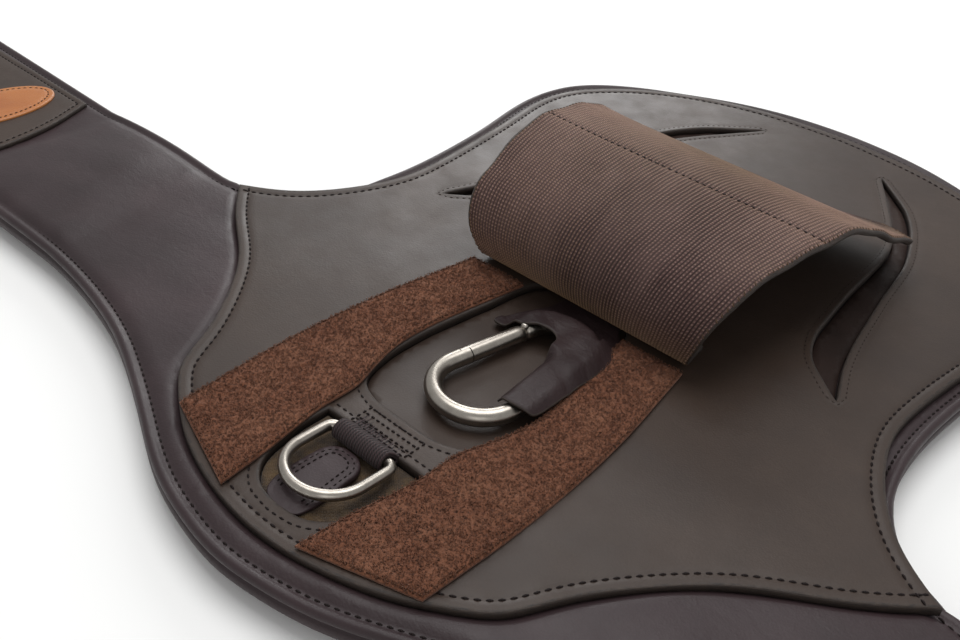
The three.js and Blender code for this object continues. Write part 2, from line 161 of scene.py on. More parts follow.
def spline(points, step, closed=False):
    """A smooth line through points, sampled about every step."""
    p = np.asarray(points, float)
    count = len(p) if closed else len(p) - 1
    if not closed and len(p) == 2:
        n = max(1, int(round(np.linalg.norm(p[1] - p[0]) / step)))
        return p[0] + (p[1] - p[0]) * np.linspace(0, 1, n + 1)[:, None]
    fine = []
    for i in range(count):
        p1, p2 = p[i], p[(i + 1) % len(p)]
        p0 = p[i - 1] if (closed or i) else 2 * p1 - p2
        p3 = p[(i + 2) % len(p)] if (closed or i + 2 < len(p)) else 2 * p2 - p1
        t = np.linspace(0, 1, 9)[:-1, None]
        d01 = max(np.linalg.norm(p1 - p0), 1e-6) ** 0.5
        d12 = max(np.linalg.norm(p2 - p1), 1e-6) ** 0.5
        d23 = max(np.linalg.norm(p3 - p2), 1e-6) ** 0.5
        m1 = p2 - p1 + d12 * ((p1 - p0) / d01 - (p2 - p0) / (d01 + d12))
        m2 = p2 - p1 + d12 * ((p3 - p2) / d23 - (p3 - p1) / (d12 + d23))
        fine.append(p1 + m1 * t + (3 * (p2 - p1) - 2 * m1 - m2) * t**2
                    + (m1 + m2 - 2 * (p2 - p1)) * t**3)
    fine.append(p[:1] if closed else p[-1:])
    line = np.concatenate(fine)
    far = np.concatenate([[0], np.cumsum(np.linalg.norm(np.diff(line, axis=0), axis=1))])
    n = max(2, int(round(far[-1] / step)))
    at = np.linspace(0, far[-1], n + 1)
    out = np.stack([np.interp(at, far, line[:, k]) for k in range(line.shape[1])], 1)
    return out[:-1] if closed else out


def smooth_loop(loop, step, corner=30):
    """A CAD outline with its curves rounded out and its real corners kept."""
    before = loop - np.roll(loop, 1, 0)
    after = np.roll(loop, -1, 0) - loop
    turn = np.degrees(np.arctan2(before[:, 0] * after[:, 1] - before[:, 1] * after[:, 0],
                                 (before * after).sum(1)))
    corners = np.flatnonzero(np.abs(turn) > corner)
    if not len(corners):
        return spline(loop, step, closed=True)
    rolled = np.roll(loop, -corners[0], 0)
    cuts = list(corners - corners[0]) + [len(loop)]
    rolled = np.concatenate([rolled, rolled[:1]])
    return np.concatenate([spline(rolled[a:b + 1], step)[:-1] for a, b in zip(cuts, cuts[1:])])


def outwards(loop):
    """Each point's unit normal, out of the material, stretched at corners."""
    before = loop - np.roll(loop, 1, 0)
    after = np.roll(loop, -1, 0) - loop
    a = np.stack([before[:, 1], -before[:, 0]], 1) / np.linalg.norm(before, axis=1)[:, None]
    b = np.stack([after[:, 1], -after[:, 0]], 1) / np.linalg.norm(after, axis=1)[:, None]
    return (a + b) / np.maximum(1 + (a * b).sum(1), 0.6)[:, None]


def inset(loop, distance):
    return loop - outwards(loop) * distance


def distance(points, loops):
    """How far each point is from the nearest outline."""
    best = np.full(len(points), 1e9)
    for loop in loops:
        a, b = loop, np.roll(loop, -1, 0)
        d = b - a
        for start in range(0, len(points), 4000):
            p = points[start:start + 4000, None, :2]
            t = np.clip(((p - a) * d).sum(2) / np.maximum((d * d).sum(1), 1e-9), 0, 1)
            near = np.linalg.norm(p - a - t[..., None] * d, axis=2).min(1)
            best[start:start + 4000] = np.minimum(best[start:start + 4000], near)
    return best


def inside(points, loops):
    """True where a point is on the material: inside an odd number of outlines."""
    odd = np.zeros(len(points), bool)
    for loop in loops:
        a, b = loop, np.roll(loop, -1, 0)
        for (x0, y0), (x1, y1) in zip(a, b):
            cross = (y0 > points[:, 1]) != (y1 > points[:, 1])
            if cross.any():
                x = x0 + (points[:, 1] - y0) / ((y1 - y0) or 1e-12) * (x1 - x0)
                odd ^= cross & (points[:, 0] < x)
    return odd


def signed(points, loop):
    """Distance to one outline, negative inside it."""
    return np.where(inside(points, [loop]), -1, 1) * distance(points, [loop])


def fill(rings, points):
    """Triangles over closed rings and loose points between them. Rings' vertices come first."""
    coords = np.concatenate(list(rings) + [points]) if len(points) else np.concatenate(rings)
    edges, start = [], 0
    for ring in rings:
        n = len(ring)
        edges += [(start + i, start + (i + 1) % n) for i in range(n)]
        start += n
    verts, _, faces, origin, _, _ = delaunay_2d_cdt(
        [Vector(p) for p in coords[:, :2].tolist()], edges, [], 1, 1e-5, True)
    faces = np.array(faces)
    xy = np.array([v[:] for v in verts])
    faces = faces[inside(xy[faces].mean(1), rings)]
    back = np.array([o[0] if o else -1 for o in origin])
    return xy, faces, back


def grid_points(loops, spacing, keep_off):
    """Points on a staggered grid over the material, clear of its edges."""
    low, high = loops[0].min(0), loops[0].max(0)
    rows = []
    for i, y in enumerate(np.arange(low[1], high[1], spacing * 0.87)):
        x = np.arange(low[0] + (i % 2) * spacing / 2, high[0], spacing)
        rows.append(np.column_stack([x, np.full(len(x), y)]))
    points = np.concatenate(rows)
    points = points[inside(points, loops)]
    return points[distance(points, loops) > keep_off]


EVEN_MARK = 10_000_000


def sheet_geometry(loops, rim, height, extra=None, grid=8.0, bands=(), keep_off=None, even=0.0):
    """A solid sheet. rim is its edge's section as (inset, z), from the top's border down to the
    underside. height(xy) gives the top's z. bands are insets where the top needs more points.
    With even, the underside follows the top at that thickness, and rim's z is below the top's."""
    rings = [[inset(loop, d) for d, _ in rim] for loop in loops]
    tops = [r[0] for r in rings]
    loose = [grid_points(loops, grid, keep_off or max([rim[0][0], *bands]) + grid * 0.4)]
    for d in bands:
        for loop in loops:
            band = inset(loop, d)
            loose.append(band[(distance(band, loops) > d * 0.97) & inside(band, loops)])
    if extra is not None and len(extra):
        loose.append(extra[inside(extra, loops) & (distance(extra, loops) > rim[0][0] + 0.3)])
    top_xy, top_faces, back = fill(tops, np.concatenate(loose))
    verts = [np.column_stack([top_xy, height(top_xy)])]
    count = len(top_xy)
    place = {int(b): i for i, b in enumerate(back) if b >= 0}
    faces = [list(f) for f in top_faces]
    kinds = [0] * len(faces)
    bottoms, start = [], 0
    for loop, ring in zip(loops, rings):
        n = len(loop)
        above = [place[start + i] for i in range(n)]
        lift = verts[0][above, 2] - rim[0][1]
        for k, ((_, z), line) in enumerate(zip(rim[1:], ring[1:]), 1):
            fade = 1 if even else 1 - k / (len(rim) - 1)
            verts.append(np.column_stack([line, z + lift * fade]))
            below = list(range(count, count + n))
            count += n
            for i in range(n):
                j = (i + 1) % n
                faces.append([above[i], below[i], below[j], above[j]])
                kinds.append(1)
            above = below
        bottoms.append((above, ring[-1]))
        if even:
            for i in range(n):
                j = (i + 1) % n
                a, b = place[start + i] + EVEN_MARK, place[start + j] + EVEN_MARK
                faces.append([above[i], a, b, above[j]])
                kinds.append(1)
        start += n
    if even:
        faces += [[i + EVEN_MARK for i in f[::-1]] for f in top_faces]
        kinds += [2] * len(top_faces)
        verts.append(verts[0] - np.array([0, 0, even]))
        faces = [[i if i < EVEN_MARK else i - EVEN_MARK + count for i in f] for f in faces]
        return np.concatenate(verts), faces, kinds
    under = np.concatenate([b for b, _ in bottoms])
    _, low_faces, low_back = fill([r for _, r in bottoms], np.zeros((0, 2)))
    if (low_back >= 0).all() and len(low_back) == len(under):
        for f in low_faces:
            faces.append([int(under[low_back[i]]) for i in f[::-1]])
            kinds.append(2)
    return np.concatenate(verts), faces, kinds


def tube(path, radius, sides=16, closed=False, up=(0, 0, 1)):
    """A round tube along a flat path; up is the path's plane normal. Open ends are domed."""
    path = np.asarray(path, float)
    up = np.asarray(up, float)
    n = len(path)
    ahead = np.roll(path, -1, 0) if closed else np.vstack([path[1:], path[-1:]])
    behind = np.roll(path, 1, 0) if closed else np.vstack([path[:1], path[:-1]])
    along = ahead - behind
    along /= np.linalg.norm(along, axis=1)[:, None]
    side = np.cross(along, up)
    side /= np.linalg.norm(side, axis=1)[:, None]
    radii = np.broadcast_to(np.asarray(radius, float), (n,)).copy()
    centres = path
    if not closed:
        r = radii[0]
        head = [(path[0] - along[0] * r * 0.35, radii[0] * 0.55),
                (path[0] - along[0] * r * 0.2, radii[0] * 0.85)]
        tail = [(path[-1] + along[-1] * r * 0.2, radii[-1] * 0.85),
                (path[-1] + along[-1] * r * 0.35, radii[-1] * 0.55)]
        centres = np.vstack([[c for c, _ in head], path, [c for c, _ in tail]])
        radii = np.concatenate([[x for _, x in head], radii, [x for _, x in tail]])
        side = np.vstack([side[:1], side[:1], side, side[-1:], side[-1:]])
    angle = np.linspace(0, 2 * math.pi, sides, endpoint=False)
    normal = np.cross(side, np.vstack([along[:1], along[:1], along, along[-1:], along[-1:]])
                      if not closed else along)
    verts = (centres[:, None] + radii[:, None, None]
             * (np.cos(angle)[None, :, None] * side[:, None] + np.sin(angle)[None, :, None]
                * normal[:, None])).reshape(-1, 3)
    rows = len(centres)
    faces = []
    for i in range(rows if closed else rows - 1):
        a, b = i * sides, ((i + 1) % rows) * sides
        for k in range(sides):
            m = (k + 1) % sides
            faces.append([a + k, a + m, b + m, b + k])
    if not closed:
        faces.append(list(range(sides))[::-1])
        faces.append([(rows - 1) * sides + k for k in range(sides)])
    return verts, faces


def stitch_row(line, pitch=3.5, length=2.5, width=0.5, normals=None, sink=0.12, lean=0.0,
               closed=False):
    """Thread stitches along a line on a surface, each one a small curved bead."""
    line = np.asarray(line, float)
    if closed:
        line = np.vstack([line, line[:1]])
    if normals is None:
        normals = np.tile([0.0, 0.0, 1.0], (len(line), 1))
    elif closed:
        normals = np.vstack([normals, normals[:1]])
    far = np.concatenate([[0], np.cumsum(np.linalg.norm(np.diff(line, axis=0), axis=1))])
    count = int(far[-1] / pitch)
    if count < 1:
        return np.zeros((0, 3)), []
    at = (np.arange(count) + 0.5) * far[-1] / count

    def pick(values, s):
        return np.stack([np.interp(s, far, values[:, k]) for k in range(3)], 1)

    centre = pick(line, at)
    along = pick(line, at + 0.4) - pick(line, at - 0.4)
    along /= np.linalg.norm(along, axis=1)[:, None]
    up = pick(normals, at)
    up /= np.linalg.norm(up, axis=1)[:, None]
    side = np.cross(up, along)
    if lean:
        along, side = (along * math.cos(lean) + side * math.sin(lean),
                       side * math.cos(lean) - along * math.sin(lean))
    angle = np.linspace(0, 2 * math.pi, 6, endpoint=False)
    verts, faces = [], []
    steps = np.array([-0.5, -0.36, 0.0, 0.36, 0.5])
    radii = np.array([0.25, 0.8, 1.0, 0.8, 0.25]) * width
    rise = np.array([-0.7, -0.1, 0.35, -0.1, -0.7]) * width - sink
    for t, r, z in zip(steps, radii, rise):
        mid = centre + along * (t * length) + up * z
        ring = (mid[:, None] + r * (np.cos(angle)[None, :, None] * side[:, None]
                                    + np.sin(angle)[None, :, None] * up[:, None]))
        verts.append(ring)
    verts = np.stack(verts, 1).reshape(-1, 3)
    for c in range(count):
        base = c * 30
        for i in range(4):
            for k in range(6):
                m = (k + 1) % 6
                a, b = base + i * 6, base + i * 6 + 6
                faces.append([a + k, b + k, b + m, a + m])
        faces.append([base + k for k in range(6)])
        faces.append([base + 24 + k for k in range(5, -1, -1)])
    return verts, faces


# ---- materials ------------------------------------------------------------------------------
RIB = 2.0  # between the hook tape's ribs


def srgb(code):
    channel = [(code >> s & 255) / 255 for s in (16, 8, 0)]
    return [c / 12.92 if c <= 0.04045 else ((c + 0.055) / 1.055) ** 2.4 for c in channel] + [1]


class Nodes:
    """A short way to write a material's nodes."""

    def __init__(self, name):
        self.material = bpy.data.materials.new(name)
        self.material.use_nodes = True
        self.tree = self.material.node_tree
        self.shader = self.tree.nodes["Principled BSDF"]
        self.place = self.add("ShaderNodeTexCoord").outputs["Object"]

    def add(self, kind, **settings):
        node = self.tree.nodes.new(kind)
        for key, value in settings.items():
            setattr(node, key, value)
        return node

    def link(self, source, target):
        self.tree.links.new(source, target)

    def put(self, node, socket, value):
        if isinstance(value, bpy.types.NodeSocket):
            self.link(value, node.inputs[socket])
        else:
            node.inputs[socket].default_value = value

    def scaled(self, size, turn=0.0):
        """Object coordinates in units of size millimetres, size a number or three of them."""
        size = size if isinstance(size, (tuple, list)) else (size,) * 3
        node = self.add("ShaderNodeMapping")
        node.inputs["Scale"].default_value = [1000 / s for s in size]
        node.inputs["Rotation"].default_value = (0, 0, turn)
        self.link(self.place, node.inputs["Vector"])
        return node.outputs["Vector"]

    def noise(self, size, detail=3.0, rough=0.55, distortion=0.0):
        node = self.add("ShaderNodeTexNoise")
        self.put(node, "Vector", self.scaled(size))
        self.put(node, "Scale", 1.0)
        self.put(node, "Detail", detail)
        self.put(node, "Roughness", rough)
        self.put(node, "Distortion", distortion)
        return node.outputs["Fac"]

    def cells(self, size, feature="F1"):
        node = self.add("ShaderNodeTexVoronoi", feature=feature)
        self.put(node, "Vector", self.scaled(size))
        self.put(node, "Scale", 1.0)
        return node.outputs["Distance"]

    def waves(self, size, direction="X", profile="SIN", turn=0.0):
        """Parallel waves, one every size millimetres along an axis."""
        node = self.add("ShaderNodeTexWave", wave_type="BANDS", bands_direction=direction,
                        wave_profile=profile)
        self.put(node, "Vector", self.scaled(size * 20 / (2 * math.pi), turn))
        self.put(node, "Scale", 1.0)
        self.put(node, "Distortion", 0.0)
        return node.outputs["Fac"]

    def math(self, operation, a, b=0.0):
        node = self.add("ShaderNodeMath", operation=operation)
        self.put(node, 0, a)
        self.put(node, 1, b)
        return node.outputs[0]

    def span(self, value, low, high, to_low=0.0, to_high=1.0):
        node = self.add("ShaderNodeMapRange")
        for socket, v in zip(("Value", "From Min", "From Max", "To Min", "To Max"),
                             (value, low, high, to_low, to_high)):
            self.put(node, socket, v)
        return node.outputs[0]

    def mix(self, factor, a, b, blend="MIX"):
        node = self.add("ShaderNodeMix", data_type="RGBA", blend_type=blend)
        self.put(node, 0, factor)
        self.put(node, 6, a)
        self.put(node, 7, b)
        return node.outputs[2]

    def bump(self, height, distance_mm, strength=1.0, after=None):
        node = self.add("ShaderNodeBump")
        self.put(node, "Height", height)
        self.put(node, "Strength", strength)
        self.put(node, "Distance", distance_mm / 1000)
        if after is not None:
            self.link(after, node.inputs["Normal"])
        return node.outputs["Normal"]

    def finish(self, colour, roughness, normal=None, **constants):
        self.put(self.shader, "Base Color", colour)
        self.put(self.shader, "Roughness", roughness)
        if normal is not None:
            self.link(normal, self.shader.inputs["Normal"])
        for key, value in constants.items():
            self.shader.inputs[key.replace("_", " ")].default_value = value
        return self.material


def leather(name, base, dark, light, roughness=0.45, grain=0.9, depth=0.06, crease=0.15,
            specular=0.5, coat=0.0):
    """Smooth leather: fine pebbled grain, faint creases and blotches, and painted shade in the
    grain's hollows.
    """
    n = Nodes(name)
    pebble = n.cells(grain)
    fine = n.noise(grain * 0.5, detail=4)
    crinkle = n.noise((9, 6, 9), detail=5, rough=0.6, distortion=0.6)
    blotch = n.noise(45, detail=3)
    patches = n.noise(14, detail=4, rough=0.65)
    colour = n.mix(n.span(blotch, 0.35, 0.68), srgb(dark), srgb(light))
    colour = n.mix(n.span(patches, 0.3, 0.75, 0.25, 0.7), colour, srgb(base))
    # painted shade: the colour goes darker towards each grain cell's edge, in the grain's hollows
    colour = n.mix(n.span(pebble, 0.25, 0.75, 0.0, 0.22), colour, srgb(dark))
    rough = n.math("ADD", n.span(patches, 0.3, 0.7, roughness - 0.06, roughness + 0.07),
                   n.span(fine, 0.3, 0.7, -0.03, 0.03))
    normal = n.bump(pebble, depth)
    normal = n.bump(fine, depth * 0.6, after=normal)
    normal = n.bump(crinkle, crease, after=normal)
    return n.finish(colour, rough, normal, Specular_IOR_Level=specular, Coat_Weight=coat,
                    Coat_Roughness=0.35)


def raw_edge(name, base, light):
    """A cut leather edge: layered fibres, burnished unevenly."""
    n = Nodes(name)
    layers = n.noise((3, 3, 0.25), detail=4)
    fibre = n.noise(0.35, detail=4)
    colour = n.mix(n.span(layers, 0.3, 0.7), srgb(base), srgb(light))
    normal = n.bump(layers, 0.15)
    normal = n.bump(fibre, 0.1, after=normal)
    return n.finish(colour, n.span(fibre, 0.3, 0.7, 0.55, 0.8), normal)


def thread(name, base, light):
    n = Nodes(name)
    twist = n.waves(0.55, "DIAGONAL")
    colour = n.mix(twist, srgb(base), srgb(light))
    return n.finish(colour, n.span(twist, 0, 1, 0.55, 0.75), n.bump(twist, 0.06),
                    Specular_IOR_Level=0.15)


def pile(name, dark, base, light):
    """Brushed loop pile."""
    n = Nodes(name)
    tuft = n.noise(0.62, detail=5, rough=0.75)
    blotch = n.noise(11, detail=3)
    fine = n.noise(0.3, detail=3)
    colour = n.mix(n.span(tuft, 0.28, 0.56), srgb(dark), srgb(base))
    colour = n.mix(n.span(blotch, 0.45, 0.8, 0, 0.5), colour, srgb(light))
    normal = n.bump(tuft, 0.4)
    normal = n.bump(fine, 0.15, after=normal)
    return n.finish(colour, n.span(fine, 0.3, 0.7, 0.85, 1.0), normal, Sheen_Weight=0.12,
                    Sheen_Roughness=0.5, Specular_IOR_Level=0.1)


def tape(name, dark, base, light, nap):
    """Woven hook tape: ribs along its length, with a hook at every weft; the hooks' light tops are
    painted highlight. It is measured along the tape itself, so that it stays put as the flap rolls.
    Its nap has a sheen of its own."""
    n = Nodes(name)
    flat_map = n.add("ShaderNodeTexCoord").outputs["UV"]
    n.place = flat_map
    wander = n.add("ShaderNodeTexNoise")
    n.put(wander, "Vector", n.scaled((14, 9, 1)))
    n.put(wander, "Scale", 1.0)
    n.put(wander, "Detail", 3.0)
    shift = n.add("ShaderNodeVectorMath", operation="MULTIPLY_ADD")
    n.link(wander.outputs["Color"], shift.inputs[0])
    shift.inputs[1].default_value = (0.0011, 0.0016, 0)
    n.link(flat_map, shift.inputs[2])
    n.place = shift.outputs[0]
    ribs = n.waves(RIB, "X")
    hooks = n.waves(1.3, "Y")
    missing = n.noise((1.1, 0.7, 1), detail=3, rough=0.7)
    hook_dots_and_glints = n.math("MULTIPLY", n.math("MULTIPLY", ribs, hooks), n.span(missing, 0.3, 0.6, 0.25, 1))
    fine = n.noise(0.45, detail=4)
    blotch = n.noise((30, 60, 1), detail=3)
    colour = n.mix(n.span(ribs, 0.05, 0.75), srgb(dark), srgb(base))
    # painted highlight: each hook's top gets the light colour, over its real bump
    colour = n.mix(n.span(hook_dots_and_glints, 0.4, 0.85, 0, 0.68), colour, srgb(light))
    colour = n.mix(n.span(blotch, 0.4, 0.75, 0, 0.15), colour, srgb(light))
    colour = n.mix(n.span(fine, 0.5, 0.85, 0, 0.3), colour, srgb(dark))
    normal = n.bump(ribs, 0.2)
    normal = n.bump(hook_dots_and_glints, 0.22, after=normal)
    normal = n.bump(fine, 0.12, after=normal)
    return n.finish(colour, n.span(fine, 0.3, 0.7, 0.6, 0.85), normal, Sheen_Weight=0.7,
                    Sheen_Roughness=0.42, Sheen_Tint=srgb(nap), Specular_IOR_Level=0.25)


def weave(name, dark, base, light, pitch=0.9, turn=0.0, rough=0.85, depth=0.2):
    """Plain weave: over-and-under threads both ways."""
    n = Nodes(name)
    warp = n.waves(pitch, "X", turn=turn)
    weft = n.waves(pitch, "Y", turn=turn)
    over = n.math("MAXIMUM", n.math("MULTIPLY", warp, n.span(weft, 0, 1, 1, 0.3)),
                  n.math("MULTIPLY", weft, n.span(warp, 0, 1, 1, 0.3)))
    fine = n.noise(0.3, detail=4)
    blotch = n.noise(7, detail=4)
    colour = n.mix(over, srgb(dark), srgb(base))
    colour = n.mix(n.span(blotch, 0.4, 0.75, 0, 0.7), colour, srgb(light))
    normal = n.bump(over, depth)
    normal = n.bump(fine, 0.08, after=normal)
    return n.finish(colour, n.span(fine, 0.3, 0.7, rough - 0.08, rough + 0.08), normal,
                    Sheen_Weight=0.15)


def ribbed(name, dark, base, light, pitch=1.2, direction="X", depth=0.25):
    """Webbing or elastic with ribs along one way."""
    n = Nodes(name)
    ribs = n.waves(pitch, direction)
    twill = n.waves(0.7, "DIAGONAL")
    fine = n.noise(0.3, detail=4)
    colour = n.mix(n.span(ribs, 0.1, 0.8), srgb(dark), srgb(base))
    colour = n.mix(n.span(twill, 0.5, 1, 0, 0.4), colour, srgb(light))
    normal = n.bump(ribs, depth)
    normal = n.bump(twill, 0.08, after=normal)
    normal = n.bump(fine, 0.05, after=normal)
    return n.finish(colour, n.span(fine, 0.3, 0.7, 0.6, 0.8), normal, Sheen_Weight=0.06,
                    Specular_IOR_Level=0.3)


def steel(name):
    """Satin steel: drawn lines, fine pits and small scuffs."""
    n = Nodes(name)
    drawn = n.noise((14, 0.25, 0.25), detail=4)
    pits = n.noise(0.8, detail=5, rough=0.7)
    scuff = n.noise(4, detail=5, rough=0.7)
    colour = n.mix(n.span(scuff, 0.35, 0.75), srgb(0xB0AAA1), srgb(0x968F87))
    rough = n.math("ADD", n.span(scuff, 0.3, 0.7, 0.27, 0.33), n.span(drawn, 0.3, 0.7, -0.03, 0.03))
    normal = n.bump(drawn, 0.0015)
    normal = n.bump(pits, 0.001, after=normal)
    return n.finish(colour, rough, normal, Metallic=1.0)


def floor_finish():
    n = Nodes("pale_floor")
    cloud = n.noise(300, detail=2)
    colour = n.mix(cloud, srgb(0xF4F4F3), srgb(0xF8F8F7))
    return n.finish(colour, 0.9)


PLATE = leather("plate_leather", 0x3A2E27, 0x2F2520, 0x42352D, roughness=0.46, grain=0.8,
                depth=0.03, crease=0.05, specular=0.3)
SOFT = leather("soft_leather", 0x33272A, 0x291F20, 0x3E3032, roughness=0.47, grain=0.9,
               depth=0.04, crease=0.2, specular=0.3)
LINING = leather("lining_leather", 0x2E2525, 0x231C1C, 0x362D2D, roughness=0.55, grain=1.1,
                 depth=0.08, crease=0.3)
DARK = leather("dark_leather", 0x2C2021, 0x1E1516, 0x382A2A, roughness=0.52, grain=1.0,
               depth=0.05, crease=0.7, specular=0.24)
GUSSET = leather("gusset_leather", 0x2B1F1B, 0x1E1512, 0x382A25, roughness=0.6, grain=1.0,
                 depth=0.05, crease=0.3, specular=0.15)
# the flap's leather face: its own dark brown, taken part way darker towards the shade under the
# flap, as painted shade
SHADED_FLAP_LEATHER = leather("flap_leather", 0x1F1814, 0x16110E, 0x29201B, roughness=0.55, grain=1.0,
                       depth=0.06, crease=0.3, specular=0.22)
EDGE = raw_edge("cut_edge", 0x1F1815, 0x3C3028)
THREAD = thread("stitch_thread", 0x120D0C, 0x241B1A)
TONE_THREAD = thread("tone_thread", 0x241C18, 0x3A302A)
PILE_THREAD = thread("pile_thread", 0x3E271B, 0x5C3D2C)
LIGHT_THREAD = thread("overlock_thread", 0x33261F, 0x66503F)
PILE = pile("loop_pile", 0x3D2619, 0x7A4E39, 0x946850)
# hook tape: its third colour is mostly painted highlight on the hooks' tops, and partly light
# blotches
TAPE = tape("hook_tape", 0x211617, 0x523C3A, 0xA68A82, 0xD2AA82)
CANVAS = weave("canvas", 0x120C07, 0x48341E, 0x6E5531)
WEBBING = ribbed("webbing", 0x0E090A, 0x342628, 0x4C3A38, pitch=1.2)
ELASTIC = ribbed("elastic", 0x1C1411, 0x3C2D27, 0x52413A, pitch=2.2, direction="Y", depth=0.4)
STEEL = steel("satin_steel")
BADGE = leather("badge_patch", 0xB06A30, 0x965424, 0xC48448, roughness=0.4, grain=0.7)


# ---- the padded leather skin: body and arms ---------------------------------------------------
ARM_END = 480.0
ARM_FRONT, ARM_REAR = -12.0, 79.0
PUFF_X, PUFF = (180.0, 272.0), 3.2  # where each arm's padding swells, and by how much
CUT_X = 195.0  # where the body's skin ends and each arm's begins
SKIN_RIM = [(5.0, -3.9), (4.2, -3.75), (3.4, -3.2), (2.4, -2.7), (1.5, -2.75), (0.6, -3.3),
            (0.05, -4.2), (0.1, -5.2), (0.8, -6.0), (1.6, -6.5), (1.5, -7.0), (0.6, -7.6),
            (0.0, -8.7), (0.1, -10.1), (0.9, -11.6), (2.6, -13.2), (5.0, -14.8), (8.0, -16.2),
            (11.5, -17.0)]
UNDER_PLATE = -4.7

def eased(loop, passes=14, corner=62):
    """The loop with its gentle bends made gentler, and its real corners kept."""
    before, after = loop - np.roll(loop, 1, 0), np.roll(loop, -1, 0) - loop
    cosine = (before * after).sum(1) / (np.linalg.norm(before, axis=1)
                                        * np.linalg.norm(after, axis=1))
    sharp = loop[np.degrees(np.arccos(np.clip(cosine, -1, 1))) > corner]
    free = np.ones(len(loop))
    if len(sharp):
        near = np.linalg.norm(loop[:, None] - sharp[None], axis=2).min(1)
        free = np.clip((near - 2) / 14, 0, 1)
    for _ in range(passes):
        mean = (np.roll(loop, 1, 0) + np.roll(loop, -1, 0)) / 2
        loop = loop + (mean - loop) * (0.5 * free)[:, None]
    return loop


plate_loops = [smooth_loop(lp, 3.0, corner=62) for lp in cad_loops("belly_plate")]
plate_loops[0] = eased(plate_loops[0])
plate_edge = plate_loops[0]


def skin_outline():
    loop = cad_loops("body_cover")[0]
    out = []
    for x, y in loop:
        if abs(x) < 214:
            out.append((x, y))
            continue
        side = math.copysign(1, x)
        front = y < 30
        corner = ARM_FRONT if front else ARM_REAR
        inward = 1 if front else -1
        bend = [(ARM_END - 9, corner), (ARM_END - 2.6, corner + inward * 2.6),
                (ARM_END, corner + inward * 9)]
        bend = [(px * side, py) for px, py in bend]
        leaving = front == (side > 0)
        out.extend(bend if leaving else bend[::-1])
    loop = eased(smooth_loop(np.array(out), 4.0, corner=60), passes=12, corner=60)
    share = np.clip((np.abs(loop[:, 0]) - PUFF_X[0]) / (PUFF_X[1] - PUFF_X[0]), 0, 1)
    puff = PUFF * np.sin(share * math.pi) ** 0.8
    loop[:, 1] += np.where(loop[:, 1] > 33, puff, -0.3 * puff)
    return loop


def waves_of(points, terms):
    """A gentle uneven surface: a few crossing ripples, each (wavelength, direction, height)."""
    z = np.zeros(len(points))
    for i, (length, turn, tall) in enumerate(terms):
        along = points[:, 0] * math.cos(turn) + points[:, 1] * math.sin(turn)
        z += tall * np.sin(along * 2 * math.pi / length + 1.7 * i)
    return z


skin_edge = skin_outline()
OVERLAY = {"right": cad_loops("arm_overlay_right")[0], "left": cad_loops("arm_overlay_left")[0]}


def skin_height(points):
    e = distance(points, [skin_edge])
    p = signed(points, plate_edge)
    rise = np.clip((e - 5) / 6.0, 0, 1)
    z = -3.9 + 2.1 * np.sin(rise * math.pi / 2)
    z += np.clip(rise, 0, 1) * waves_of(points, [(47, 0.4, 0.18), (29, 1.9, 0.12), (73, 1.2, 0.2)])
    arm = np.clip((np.abs(points[:, 0]) - 150) / 25, 0, 1)
    z += arm * rise * waves_of(points, [(21, 0.15, 0.14), (33, 0.5, 0.2), (13, 1.1, 0.07)])
    z -= 1.5 * np.exp(-(np.maximum(p, 0) / 1.7) ** 2)
    share = np.clip((np.abs(points[:, 0]) - PUFF_X[0]) / (PUFF_X[1] - PUFF_X[0]), 0, 1)
    z += 3.4 * np.sin(share * math.pi) ** 0.8 * np.sin(np.clip(e / 40, 0, 1) * math.pi / 2)
    flat = np.clip((np.abs(points[:, 0]) - 262) / 8, 0, 1)
    z = z * (1 - flat) + np.minimum(z, -2.9) * flat
    return np.where(p < -1.2, UNDER_PLATE, z)


def cut_copy(source, name, low, high):
    """source's part between two x planes, in design millimetres."""
    mesh = source.data.copy()
    obj = bpy.data.objects.new(name, mesh)
    bpy.context.scene.collection.objects.link(obj)
    shape = bmesh.new()
    shape.from_mesh(mesh)
    for x, keep in ((low, 1), (high, -1)):
        if x is None:
            continue
        everything = shape.verts[:] + shape.edges[:] + shape.faces[:]
        bmesh.ops.bisect_plane(shape, geom=everything, dist=1e-7, plane_co=(x / 1000, 0, 0),
                               plane_no=(-keep, 0, 0), clear_outer=True)
    shape.to_mesh(mesh)
    shape.free()
    return obj


def at(x, y, z):
    return tuple(to_row([x, y, z]).tolist())


def build_skin():
    extra = [inset(plate_edge, -d) for d in (-1.4, 0.0, 0.8, 1.8, 3.2, 5.0)]
    verts, faces, kinds = sheet_geometry([skin_edge], SKIN_RIM, skin_height,
                                         extra=np.concatenate(extra), grid=7.5,
                                         bands=(6.0, 7.4, 9.2, 11.5))
    whole = make("skin_whole", verts, faces, [SOFT, LINING], indices=[k == 2 for k in kinds])
    body = cut_copy(whole, "skin_body", -CUT_X, CUT_X)
    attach(body, "root")
    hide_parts("body_cover", "body_foam", "body_lining")
    for side, sign in (("right", 1), ("left", -1)):
        low, high = (CUT_X, None) if sign > 0 else (None, -CUT_X)
        arm = cut_copy(whole, f"skin_arm_{side}", low, high)
        at(sign * 200, 33, -17)
        at(sign * 230, 33, -17)
        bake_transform(arm)
        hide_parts(f"arm_cover_{side}", f"arm_foam_{side}", f"arm_lining_{side}")
    bpy.data.objects.remove(whole)


